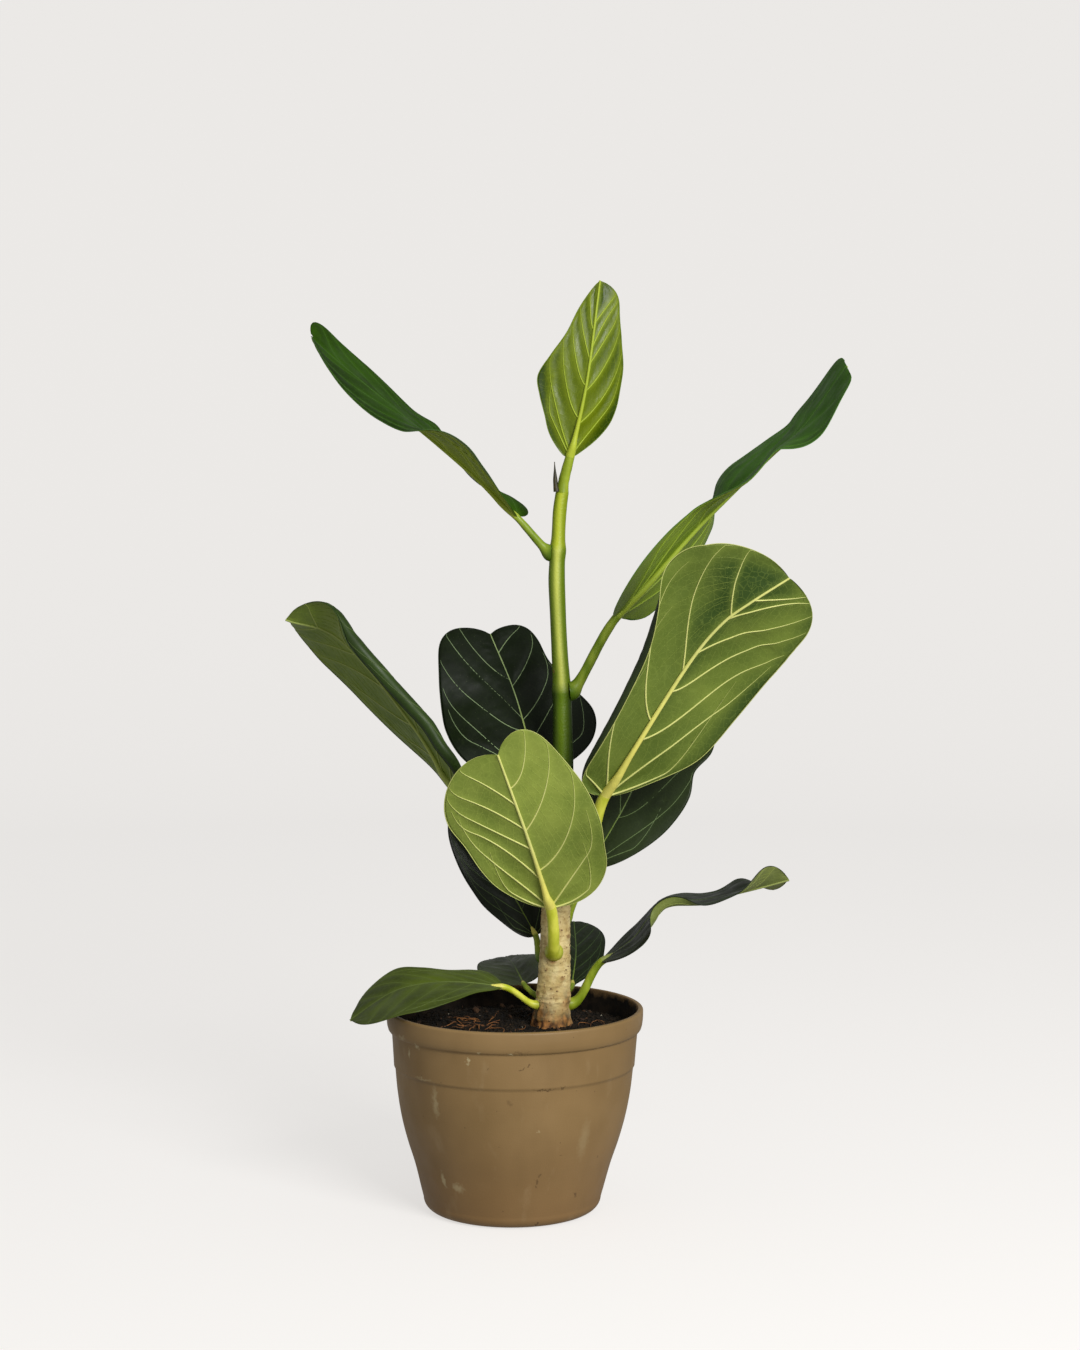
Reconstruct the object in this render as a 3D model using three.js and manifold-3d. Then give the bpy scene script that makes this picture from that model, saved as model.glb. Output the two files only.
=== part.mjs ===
// A young audrey ficus in a plastic nursery pot: pot, soil, one trunk, and thirteen leaves on petioles.
// Millimetres, +Z up. The origin is the centre of the pot's flat underside, and the front looks to -Y.
import * as THREE from "three";
import { ParametricGeometry } from "three/addons/geometries/ParametricGeometry.js";
import { mergeVertices } from "three/addons/utils/BufferGeometryUtils.js";
import Module from "manifold-3d";

// Sizes that the rest follows
const MERGE_WITHIN = 1e-4; // points closer than this are one point
const GAP = 0.3; // between pieces that touch
const POT_HEIGHT = 137;
const POT_RIM_RADIUS = 86.9;
const POT_WALL = 1.8;
const POT_FLOOR = 3;
const POT_SIDES = 32;
const RIM_BAND = 12; // height of the thick lip
const RIM_STEP = 3.4; // how far the lip stands out from the wall below it
const RIM_ROUND = 1.6;
const FOOT_RADIUS = 60.4;
const FOOT_ROUND = 8;
const DRAIN_HOLES = 6;
const DRAIN_RADIUS = 4.5;
const DRAIN_SIDES = 10;
const DRAIN_CIRCLE = 38;
const SOIL_LEVEL = 124;
const SOIL_EDGE_DROP = 2.5; // the soil sinks a little towards the wall
const SOIL_FLAT_RADIUS = 52;

// Outside of the wall between foot and lip, as [height, radius]: a belly, with a fine step near its top
const POT_BELLY = [
  [14.7, 62.2],
  [31.4, 66.6],
  [48, 71.9],
  [64.5, 76.2],
  [81, 79.1],
  [98, 80.5],
  [99.5, 82.1],
  [112, 82.9],
  [POT_HEIGHT - RIM_BAND, POT_RIM_RADIUS - RIM_STEP],
];

// The trunk and stem: height, lean to the right, lean to the back, radius
const TRUNK_FOOT = SOIL_LEVEL + GAP;
const TRUNK_TOP = 485;
const TRUNK = [
  [TRUNK_FOOT, 24.4, 0, 13.6],
  [131, 24.9, 0, 12.7],
  [142, 26, 0, 11.7],
  [176, 27.2, 0.5, 10.3],
  [204, 27.8, 1, 9.7],
  [250, 30, 2, 8.5],
  [298, 32.3, 3, 7.2],
  [350, 31.8, 4, 6.2],
  [377, 30.3, 4, 5.6],
  [401, 29.2, 3.5, 5.4],
  [430, 28.3, 3, 5.5],
  [457, 29.3, 3, 4.6],
  [473, 30.2, 3, 4.7],
  [TRUNK_TOP, 31.8, 3, 5],
];
const FLARE = 1.4; // how far the root lobes stand out at the soil
const FLARE_HEIGHT = 10;
const FLARE_LOBES = 3;
const STEM_NODES = [351, 446]; // rings where the two top leaves leave the green stem
const NODE_SWELL = 0.8;
const NODE_REACH = 5;
const TRUNK_STEPS = 22; // rings between foot and top, apart from those at the nodes
const TRUNK_CROWDING = 1.4; // over 1 sets the rings closer together near the foot
const TRUNK_SIDES = 14;

// Leaf blades and petioles
const BLADE_THICK = 1.6;
const BLADE_STEPS = 10; // along the midrib
const BLADE_STRIPS = 6; // across, from edge to edge
const BLADE_BASE_HALF = 2.2; // half the width where the blade starts
const BLADE_TIP_HALF = 0.6;
const BLADE_END = 1e-4; // the outline is read this far inside its ends, where its width is zero
const TANGENT_STEP = 0.001; // share of the midrib over which its direction is taken
const END_SPREAD = 6; // how soon the ears and the tip notch fade along the blade
const NOTCH_POWER = 0.7;
const ROLL_FROM = 0.75; // share of the half width where an edge starts to roll under
const LEAST_ROLL = 0.001;
const RIGHT_WAVE_SHIFT = 2.1; // the right edge waves out of step with the left one
const PETIOLE_RINGS = 7;
const PETIOLE_SIDES = 8;
const PETIOLE_HEEL = 1.2; // the petiole is this much thicker where it leaves the trunk

// Colours and finishes
const POT_PLASTIC = { color: 0x8f7858, roughness: 0.55, metalness: 0 };
const SOIL_MIX = { color: 0x1e150c, roughness: 1, metalness: 0 };
const BARK = { color: 0xb59b6e, roughness: 0.85, metalness: 0 };
const SHEATH = { color: 0x4a3a24, roughness: 0.6, metalness: 0 };
const PETIOLE_GREEN = { color: 0x8f9c2c, roughness: 0.45, metalness: 0 };
const LEAF_GREEN = { color: 0x34502c, roughness: 0.45, metalness: 0 };
const YOUNG_GREEN = { color: 0x6f8420, roughness: 0.35, metalness: 0 };

// One entry per leaf. Left and right are as seen on the upper face with the tip up.
// leaves: height and bearing (degrees, 0 to the right, 90 to the back) where the petiole leaves the trunk
// midrib: places that the midrib runs through, from the petiole's end to the tip
// face: which way the upper face looks, at even steps from base to tip
// width, broadest, blunt: greatest width, where it is, and how round the ends are (1 is an ellipse)
// full: how much of that half width each side has, fold: degrees that each side rises from the midrib
// curl: more degrees towards the edge, wave: height, count and start of the edge's waves
// roll: degrees by which the outermost part of each side turns under, at even steps from base to tip
// notch, ear: how far the sides run past the midrib at the tip and at the base
// stalk: petiole radius at the trunk and at the blade, reach, lead: how straight it leaves and arrives
const LEAVES = {
  top: {
    midrib: [[37, 0, 509], [48, -3, 558], [57, 4, 626]],
    face: [[-0.25, 1, 0], [-0.15, 1, 0]],
    width: 60,
    broadest: 0.45,
    blunt: 0.93,
    full: [[0.95, 0.94, 0.92, 0.9, 0.88, 0.85, 1.03], [0.66, 0.79, 0.97, 1.12, 0.88, 0.62, 0.39]],
    fold: [[22, 15, 8], [22, 15, 8]],
    curl: [[10, 10], [-10, 5]],
    wave: [1, 2, 0],
    notch: [2, -4],
    ear: [-2, 1],
    stalk: [3.6, 3.2],
  },
  upper_left: {
    leaves: [445, 180],
    midrib: [[2, -2, 468], [-23, -4, 493], [-52, -3, 518], [-78, 0, 539], [-117, 4, 571], [-135, 8, 587]],
    face: [
      [0.7, 0.42, 0.7], [0.7, 0.14, 0.7], [0.69, -0.04, 0.69],
      [0.67, -0.27, 0.68], [0.67, -0.31, 0.68],
    ],
    width: 80,
    broadest: 0.6,
    blunt: 0.8,
    full: [[0.79, 0.91, 1.05, 1.09, 1.07, 0.89, 0.67], [1.15, 1.12, 1.06, 1.05, 0.99, 0.98, 0.99]],
    fold: [[-6, 5, 19, -1, -4, 1, 12], [74, 15, 3, 4, -7, -4, 8]],
    curl: [[-20, -10, 23], [-18, 7, 15]],
    wave: [2, 1.5, 0],
    notch: [2, 28],
    ear: [-9, 23],
    stalk: [2.8, 2.3],
    reach: 0.12,
  },
  upper_right: {
    leaves: [352, 0],
    midrib: [[69, 2, 402], [124, 5, 456], [150, 4, 479], [175, 2, 511], [194, -2, 530], [221, -6, 569]],
    face: [
      [-0.68, 0.41, 0.66], [-0.68, 0.38, 0.66], [-0.69, -0.28, 0.68],
      [-0.68, -0.32, 0.66], [-0.68, -0.13, 0.66],
    ],
    width: 96,
    blunt: 0.37,
    full: [[1.08, 1.11, 1.15, 1.13, 1.07, 1.04, 1], [1.03, 0.72, 0.6, 0.86, 0.98, 1.05, 1.07]],
    fold: [[-10, 2, 22, 2, -10, -3, 2], [-14, 8, 6, 13, 24, 3, -8]],
    curl: [[0, -13, 6], [1, -2, 3]],
    wave: [4, 2, 0],
    notch: [7, -7],
    ear: [-13, 5],
    stalk: [3.4, 3],
    reach: 0.12,
  },
  left: {
    leaves: [236, 170],
    midrib: [[-43, 25, 284], [-69, 32, 325], [-118, 30, 384], [-156, 22, 399]],
    face: [[0.72, 0.16, 0.65], [0.72, 0.39, 0.65]],
    width: 92,
    broadest: 0.52,
    blunt: 0.5,
    full: [[1.59, 1.4, 1.29, 1.22, 1.14, 0.95, 0.62], [1.11, 1.1, 1.07, 1.05, 1.02, 0.99, 0.95]],
    fold: [[18, 9, 6, 0, -1, 17, 23], [-5, -4, -8, -13, -16, -8, 8]],
    curl: [[6, 5, 5], [3, -1, 13]],
    roll: [[180, 180, 180, 180, 150, 60, 0], [0, 0]],
    wave: [1, 1.5, 0],
    notch: [-2, -8],
    ear: [0, 2],
    stalk: [3.2, 2.8],
  },
  back: {
    leaves: [270, 100],
    midrib: [[15, 25, 292], [0, 58, 344], [-18, 80, 386]],
    face: [[0.1, -0.8, 0.5], [0.1, -0.8, 0.5]],
    width: 102,
    broadest: 0.46,
    blunt: 0.76,
    full: [[1.14, 1.14, 1.09, 1.04, 1.04, 1.09, 1.29], [0.98, 1.06, 1.02, 0.75, 0.64, 0.78, 1.02]],
    fold: [[6, 6], [6, 6]],
    curl: [[-10, -10], [-10, -10]],
    wave: [3, 1.5, 0],
    notch: [33, 11],
    ear: [0, -4],
    stalk: [3.5, 3],
  },
  right_big: {
    leaves: [214, -20],
    midrib: [
      [60, -28, 284], [82, -46, 323], [114, -58, 375],
      [134, -66, 400], [152, -72, 414], [177, -74, 430],
    ],
    face: [[-0.2, 0.9, 0.4], [-0.2, 0.9, 0.4]],
    width: 106,
    broadest: 0.55,
    blunt: 0.9,
    full: [[0.78, 1.14, 1.12, 1.06, 1.07, 1.16, 1.45], [1.23, 0.81, 0.77, 0.94, 1.1, 1.11, 0.88]],
    fold: [[6, 6], [6, 6]],
    curl: [[-5, -5], [-5, -5]],
    roll: [[0, 0], [90, 170, 180, 120, 0, 0, 0]],
    wave: [2, 1.5, 0],
    notch: [12, -1],
    ear: [-4, 14],
    stalk: [4, 3.7],
  },
  lower_right: {
    leaves: [192, 30],
    midrib: [[51, 14, 231], [74, 26, 269], [94, 40, 306], [121, 58, 338]],
    face: [[-0.3, -0.8, 0.5], [-0.3, -0.8, 0.5]],
    width: 80,
    blunt: 0.83,
    full: [[0.9, 0.9, 0.9, 0.9, 0.9, 0.9, 0.9], [0.69, 0.83, 0.96, 1.04, 0.96, 1.17, 1.31]],
    fold: [[6, 6], [6, 6]],
    curl: [[-10, -10], [-10, -10]],
    wave: [2, 1.5, 0],
    notch: [0, -1],
    ear: [0, -2],
    stalk: [3.3, 3],
  },
  front: {
    leaves: [176, -95],
    midrib: [[24, -32, 210], [9, -62, 261], [-10, -84, 317]],
    face: [[0, 0.8, 0.5], [0, 0.8, 0.5]],
    width: 105,
    blunt: 0.98,
    full: [[1.18, 1.05, 0.93, 0.93, 0.93, 0.92, 1.05], [0.6, 0.7, 0.74, 0.81, 0.98, 1.06, 1.07]],
    fold: [[6, 6], [6, 6]],
    curl: [[-5, -5], [-5, -5]],
    wave: [2, 1.5, 0],
    notch: [42, 11],
    ear: [10, 0],
    stalk: [4, 3.7],
  },
  lower_left: {
    leaves: [169, 150],
    midrib: [[14, 16, 183], [-1, 28, 208], [-18, 42, 236], [-30, 56, 273]],
    face: [[0.2, -0.7, 0.6], [0.2, -0.7, 0.6]],
    width: 72,
    blunt: 0.84,
    full: [[0.53, 0.62, 0.69, 0.68, 0.75, 0.89, 1.02], [1, 1, 1, 1, 1, 1, 1]],
    fold: [[6, 6], [6, 6]],
    curl: [[-5, -5], [-5, -5]],
    wave: [2, 1.5, 0],
    notch: [-1, 0],
    ear: [2, 0],
    stalk: [3, 2.7],
  },
  behind_right: {
    leaves: [143, 62],
    midrib: [[39, 19, 148], [42, 48, 166], [41, 80, 182]],
    face: [[0, -0.4, 0.9], [0, -0.4, 0.9]],
    width: 44,
    broadest: 0.55,
    blunt: 0.92,
    full: [[0.8, 0.81, 0.82, 0.82, 0.83, 0.84, 0.85], [0.67, 0.77, 0.89, 0.9, 0.95, 0.98, 0.95]],
    fold: [[6, 6], [6, 6]],
    curl: [[-5, -5], [-5, -5]],
    wave: [1, 1.5, 0],
    notch: [0, -1],
    ear: [0, -4],
    stalk: [2.7, 2.3],
  },
  low_left: {
    leaves: [139, 200],
    midrib: [[-8, -12, 153], [-34, -18, 157], [-60, -22, 157], [-83, -25, 151], [-110, -26, 133]],
    face: [[-0.1, -0.35, 0.93], [-0.1, -0.35, 0.93]],
    width: 66,
    broadest: 0.58,
    full: [[0.46, 0.62, 0.89, 1.04, 1.11, 1.07, 0.9], [1.12, 0.74, 0.53, 0.57, 0.7, 0.7, 0.74]],
    fold: [[6, 6], [6, 6]],
    curl: [[-5, -5], [-5, -5]],
    wave: [1, 1.5, 0],
    notch: [-7, -12],
    ear: [-4, 0],
    stalk: [2.6, 2.3],
  },
  low_back_left: {
    leaves: [142, 140],
    midrib: [[6, 18, 149], [-1, 44, 157], [-7, 74, 158]],
    face: [[-0.1, -0.3, 0.95], [-0.1, -0.3, 0.95]],
    width: 46,
    full: [[1.1, 1.1], [0.8, 0.8]],
    fold: [[6, 6], [6, 6]],
    curl: [[-5, -5], [-5, -5]],
    wave: [1, 1.5, 0],
    stalk: [2.4, 2.2],
  },
  low_right: {
    leaves: [139, 0],
    midrib: [
      [59, -4, 169], [80, -8, 185], [99, -11, 209],
      [126, -13, 213], [157, -14, 224], [184, -14, 226],
    ],
    face: [[-0.45, -0.06, 0.85], [-0.45, -0.07, 0.85], [-0.3, -0.08, 0.93], [-0.15, 0.52, 0.9]],
    width: 64,
    broadest: 0.52,
    full: [[0.96, 0.98, 1, 1.04, 1.12, 1.21, 1.22], [0.99, 0.98, 0.98, 0.98, 1.05, 1.18, 1.27]],
    fold: [[-1, 2, -1, -5, -10, 5, 1], [-1, -1, -3, 5, 7, -6, 6]],
    curl: [[0, -5, 0], [-2, 4, 1]],
    wave: [2, 2, 0],
    notch: [-8, -5],
    ear: [-1, -2],
    stalk: [3, 2.6],
  },
};
const LEAF_DEFAULTS = {
  broadest: 0.5,
  blunt: 0.85,
  full: [[1, 1], [1, 1]],
  fold: [[0, 0], [0, 0]],
  curl: [[0, 0], [0, 0]],
  roll: [[0, 0], [0, 0]],
  notch: [0, 0],
  ear: [0, 0],
  reach: 0.3,
  lead: 0.35,
};

// The pointed sheath left beside the top leaf: places and radii
const SHEATH_PLACES = [[28, -1.2, 485.6], [27.3, -1, 492], [26.7, -0.5, 505.5]];
const SHEATH_RADII = [1.2, 1.4, 0.3];
const SHEATH_SIDES = 8;

const vector = (place) => new THREE.Vector3(...place);
const radians = THREE.MathUtils.degToRad;

// Value at s (0 to 1) in a list whose entries stand at even steps, passing from one to the next by share(w).
function along(list, s, share = (w) => w) {
  const step = s * (list.length - 1);
  const from = Math.min(Math.floor(step), list.length - 2);
  const w = share(step - from);
  return list[from] * (1 - w) + list[from + 1] * w;
}

const easing = (w) => w * w * (3 - 2 * w);

// Closed solid whose cross-sections stand in order: placeAt(k, i) is corner i of section k.
// The first and last sections are closed flat over their middles.
function sectionSolid(sections, sides, placeAt) {
  const middle = (k) => {
    const sum = new THREE.Vector3();
    for (let i = 0; i < sides; i++) sum.add(placeAt(k, i));
    return sum.divideScalar(sides);
  };
  const ends = [middle(0), middle(sections - 1)];
  const stacks = sections + 1;
  const surface = (u, v, target) => {
    const row = Math.round(v * stacks);
    const i = Math.round(u * sides) % sides;
    if (row === 0) target.copy(ends[0]);
    else if (row === stacks) target.copy(ends[1]);
    else target.copy(placeAt(row - 1, i));
  };
  return new ParametricGeometry(surface, sides, stacks);
}

// Middle and radius of the trunk at a height, passing evenly from station to station.
function trunkAt(height) {
  const last = TRUNK.length - 2;
  let k = TRUNK.findIndex((station) => station[0] > height) - 1;
  k = k < 0 ? last : Math.min(k, last);
  const w = THREE.MathUtils.clamp((height - TRUNK[k][0]) / (TRUNK[k + 1][0] - TRUNK[k][0]), 0, 1);
  const value = (j) => TRUNK[k][j] * (1 - w) + TRUNK[k + 1][j] * w;
  let radius = value(3);
  for (const node of STEM_NODES) radius += NODE_SWELL * Math.exp(-(((height - node) / NODE_REACH) ** 2));
  return { centre: new THREE.Vector3(value(1), value(2), height), radius };
}

// Heights of the trunk's rings: close together at the foot, and one at and beside each node.
function trunkHeights() {
  const heights = STEM_NODES.flatMap((node) => [node - NODE_REACH, node, node + NODE_REACH]);
  for (let k = 0; k <= TRUNK_STEPS; k++) {
    const height = TRUNK_FOOT + (TRUNK_TOP - TRUNK_FOOT) * (k / TRUNK_STEPS) ** TRUNK_CROWDING;
    if (STEM_NODES.every((node) => Math.abs(height - node) > NODE_REACH * 1.5)) heights.push(height);
  }
  return heights.sort((a, b) => a - b);
}

// How far the bark stands out from the trunk's middle towards a direction, beside a heel of that radius.
function barkReach(height, outward, heel) {
  const { centre } = trunkAt(height);
  const reaches = [-heel, 0, heel].map((step) => {
    const ring = trunkAt(height + step);
    return ring.centre.sub(centre).dot(outward) + ring.radius;
  });
  return Math.max(...reaches);
}

function trunkGeometry() {
  const heights = trunkHeights();
  const placeAt = (k, i) => {
    const height = heights[k];
    const { centre, radius } = trunkAt(height);
    const turn = (2 * Math.PI * i) / TRUNK_SIDES;
    const fade = Math.max(0, 1 - (height - TRUNK_FOOT) / FLARE_HEIGHT) ** 2;
    const r = radius + FLARE * fade * Math.max(0, Math.cos(FLARE_LOBES * turn));
    return new THREE.Vector3(r * Math.cos(turn), r * Math.sin(turn), 0).add(centre);
  };
  return sectionSolid(heights.length, TRUNK_SIDES, placeAt);
}

// Round limb along a curve, with its radius from a list of radii at even steps.
function limbGeometry(curve, radii, rings, sides, firstAxis) {
  const frames = curve.computeFrenetFrames(rings - 1, false);
  const placeAt = (k, i) => {
    const s = k / (rings - 1);
    const turn = (2 * Math.PI * i) / sides;
    const r = along(radii, s, easing);
    const across = frames.normals[k].clone().multiplyScalar(r * Math.cos(turn));
    across.addScaledVector(frames.binormals[k], r * Math.sin(turn));
    if (k === 0 && firstAxis) across.addScaledVector(firstAxis, -across.dot(firstAxis));
    return curve.getPointAt(s).add(across);
  };
  return sectionSolid(rings, sides, placeAt);
}

// Midrib curve and the blade's own directions at s: along the midrib, out of the upper face, to the right.
function bladeFrame(leaf, s) {
  const ends = [Math.max(0, s - TANGENT_STEP), Math.min(1, s + TANGENT_STEP)];
  const along3 = leaf.curve.getPoint(ends[1]).sub(leaf.curve.getPoint(ends[0])).normalize();
  const component = (axis) => leaf.face.map((f) => vector(f).normalize().getComponent(axis));
  const face = vector([0, 1, 2].map((axis) => along(component(axis), s, easing)));
  const up = face.addScaledVector(along3, -face.dot(along3)).normalize();
  const right = new THREE.Vector3().crossVectors(along3, up);
  return { centre: leaf.curve.getPoint(s), along: along3, up, right };
}

// Half width of the whole outline at s, before each side's own fullness.
function outline(leaf, s) {
  const at = THREE.MathUtils.clamp(s, BLADE_END, 1 - BLADE_END);
  const rise = (at / leaf.broadest) ** (leaf.broadest * leaf.blunt);
  const fall = ((1 - at) / (1 - leaf.broadest)) ** ((1 - leaf.broadest) * leaf.blunt);
  return (leaf.width / 2) * rise * fall;
}

// Share of its full width to which a side reaches: less where its edge rolls under.
function rolledShare(degrees) {
  const turn = Math.max(LEAST_ROLL, radians(degrees));
  return ROLL_FROM + ((1 - ROLL_FROM) * Math.sin(Math.min(turn, Math.PI / 2))) / turn;
}

// Place on the blade's middle surface: s from base to tip, t from -1 at the left edge to 1 at the right edge.
function bladePlace(leaf, s, t) {
  const { centre, along: forward, up, right } = bladeFrame(leaf, s);
  const side = t < 0 ? 0 : 1;
  const out = Math.abs(t);
  const least = BLADE_BASE_HALF * (1 - s) + BLADE_TIP_HALF * s;
  const full = along(leaf.full[side], s) * rolledShare(along(leaf.roll[side], s));
  const reach = out * Math.max(outline(leaf, s) * full, least);
  const rise = radians(along(leaf.fold[side], s)) + (radians(along(leaf.curl[side], s)) * out) / 2;
  const [height, count, start] = leaf.wave;
  const phase = 2 * Math.PI * count * s + radians(start) + (side ? RIGHT_WAVE_SHIFT : 0);
  const wave = height * out * out * Math.sin(phase) * Math.sqrt(Math.max(0, Math.sin(Math.PI * s)));
  const spread = out * (Math.max(0, outline(leaf, s) - least) / (leaf.width / 2)) ** NOTCH_POWER;
  const past = leaf.notch[side] * s ** END_SPREAD - leaf.ear[side] * out * (1 - s) ** END_SPREAD;
  const place = centre.clone();
  place.addScaledVector(right, Math.sign(t) * reach * Math.cos(rise));
  place.addScaledVector(up, reach * Math.sin(rise) + wave);
  place.addScaledVector(forward, past * spread);
  return { place, up };
}

function bladeGeometry(leaf) {
  const row = BLADE_STRIPS + 1;
  const placeAt = (k, i) => {
    const s = (1 - Math.cos((Math.PI * k) / BLADE_STEPS)) / 2;
    const upper = i < row;
    const j = upper ? i : 2 * row - 1 - i;
    const { place, up } = bladePlace(leaf, s, (2 * j) / BLADE_STRIPS - 1);
    return place.addScaledVector(up, upper ? BLADE_THICK / 2 : -BLADE_THICK / 2);
  };
  return sectionSolid(BLADE_STEPS + 1, 2 * row, placeAt);
}

// Petiole from the trunk's bark, or from the stem's top, to just short of the blade.
function petioleGeometry(leaf) {
  const base = bladeFrame(leaf, 0);
  const end = base.centre.clone().addScaledVector(base.along, -GAP);
  let start;
  let outward;
  if (leaf.leaves) {
    const [height, bearing] = leaf.leaves;
    outward = new THREE.Vector3(Math.cos(radians(bearing)), Math.sin(radians(bearing)), 0);
    start = trunkAt(height).centre.addScaledVector(outward, barkReach(height, outward, leaf.stalk[0]) + GAP);
  } else {
    outward = new THREE.Vector3(0, 0, 1);
    start = trunkAt(TRUNK_TOP).centre.clone().addScaledVector(outward, GAP);
  }
  const span = start.distanceTo(end);
  const leaving = start.clone().addScaledVector(outward, span * leaf.reach);
  const arriving = end.clone().addScaledVector(base.along, -span * leaf.lead);
  const curve = new THREE.CubicBezierCurve3(start, leaving, arriving, end);
  const [heel, neck] = leaf.stalk;
  const radii = [heel * PETIOLE_HEEL, heel, (heel + neck) / 2, neck];
  return limbGeometry(curve, radii, PETIOLE_RINGS, PETIOLE_SIDES, outward);
}

function sheathGeometry() {
  const curve = new THREE.CatmullRomCurve3(SHEATH_PLACES.map(vector), false, "catmullrom");
  return limbGeometry(curve, SHEATH_RADII, SHEATH_PLACES.length * 2, SHEATH_SIDES);
}

// Solid of revolution about Z from [radius, height] pairs that start and end on the axis.
function turned(profile) {
  const points = profile.map(([r, z]) => new THREE.Vector2(r, z));
  return new THREE.LatheGeometry(points, POT_SIDES).rotateX(Math.PI / 2);
}

// Quarter round between two directions, as [radius, height] pairs about a centre.
function quarter(centreRadius, centreHeight, round, fromDegrees, toDegrees, steps = 3) {
  const pairs = [];
  for (let k = 0; k <= steps; k++) {
    const turn = radians(fromDegrees + ((toDegrees - fromDegrees) * k) / steps);
    pairs.push([centreRadius + round * Math.cos(turn), centreHeight + round * Math.sin(turn)]);
  }
  return pairs;
}

// Inner wall from the floor's edge up to the lip, or a surface that keeps a clearance inside it.
function innerWall(clearance) {
  const round = FOOT_ROUND - POT_WALL - clearance;
  const down = THREE.MathUtils.radToDeg(Math.asin((FOOT_ROUND - POT_FLOOR - clearance) / round));
  const foot = quarter(FOOT_RADIUS - FOOT_ROUND, FOOT_ROUND, round, -down, 0);
  return [...foot, ...POT_BELLY.map(([z, r]) => [r - POT_WALL - clearance, z])];
}

function potProfile() {
  const lip = POT_RIM_RADIUS - RIM_ROUND;
  const outside = [
    [0, 0],
    ...quarter(FOOT_RADIUS - FOOT_ROUND, FOOT_ROUND, FOOT_ROUND, -90, 0),
    ...POT_BELLY.map(([z, r]) => [r, z]),
    ...quarter(lip, POT_HEIGHT - RIM_BAND + RIM_ROUND, RIM_ROUND, -60, 0, 2),
    ...quarter(lip, POT_HEIGHT - RIM_ROUND, RIM_ROUND, 0, 90, 3),
    ...quarter(lip - POT_WALL / 2, POT_HEIGHT - RIM_ROUND, RIM_ROUND, 120, 180, 2),
  ];
  return [...outside, ...innerWall(0).reverse(), [0, POT_FLOOR]];
}

function soilProfile() {
  const edge = SOIL_LEVEL - SOIL_EDGE_DROP;
  const wall = innerWall(GAP).filter(([, z]) => z < edge);
  const below = wall[wall.length - 1];
  const above = innerWall(GAP).find(([, z]) => z >= edge);
  const w = (edge - below[1]) / (above[1] - below[1]);
  const edgeRadius = below[0] * (1 - w) + above[0] * w;
  return [[0, POT_FLOOR + GAP], ...wall, [edgeRadius, edge], [SOIL_FLAT_RADIUS, SOIL_LEVEL], [0, SOIL_LEVEL]];
}

const wasm = await Module();
wasm.setup();

function solidOf(geometry) {
  const bare = geometry.clone();
  bare.deleteAttribute("normal");
  bare.deleteAttribute("uv");
  const merged = mergeVertices(bare, MERGE_WITHIN);
  const vertProperties = merged.attributes.position.array;
  const triVerts = new Uint32Array(merged.index.array);
  return new wasm.Manifold(new wasm.Mesh({ numProp: 3, vertProperties, triVerts }));
}

function geometryOf(solid) {
  const { vertProperties, triVerts } = solid.getMesh();
  const geometry = new THREE.BufferGeometry();
  geometry.setAttribute("position", new THREE.BufferAttribute(new Float32Array(vertProperties), 3));
  geometry.setIndex(new THREE.BufferAttribute(new Uint32Array(triVerts), 1));
  geometry.computeVertexNormals();
  return geometry;
}

function potGeometry() {
  let solid = solidOf(turned(potProfile()));
  for (let k = 0; k < DRAIN_HOLES; k++) {
    const turn = (2 * Math.PI * k) / DRAIN_HOLES;
    const hole = new THREE.CylinderGeometry(DRAIN_RADIUS, DRAIN_RADIUS, 4 * POT_FLOOR, DRAIN_SIDES);
    hole.rotateX(Math.PI / 2);
    hole.translate(DRAIN_CIRCLE * Math.cos(turn), DRAIN_CIRCLE * Math.sin(turn), 0);
    solid = solid.subtract(solidOf(hole));
  }
  return geometryOf(solid);
}

const plant = new THREE.Group();

function add(name, geometry, finish) {
  const mesh = new THREE.Mesh(geometry, new THREE.MeshStandardMaterial(finish));
  mesh.name = name;
  plant.add(mesh);
}

add("pot", potGeometry(), POT_PLASTIC);
add("soil", turned(soilProfile()), SOIL_MIX);
add("trunk", trunkGeometry(), BARK);
add("bud_sheath", sheathGeometry(), SHEATH);

for (const [name, sizes] of Object.entries(LEAVES)) {
  const leaf = { ...LEAF_DEFAULTS, ...sizes };
  leaf.curve = new THREE.CatmullRomCurve3(leaf.midrib.map(vector), false, "catmullrom");
  add(`petiole_${name}`, petioleGeometry(leaf), PETIOLE_GREEN);
  add(`leaf_${name}`, bladeGeometry(leaf), name === "top" ? YOUNG_GREEN : LEAF_GREEN);
}

export default plant;
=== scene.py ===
# Looks of a young potted audrey ficus: pot, soil, trunk, petioles, veined leaves, camera and light.
import math

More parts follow.
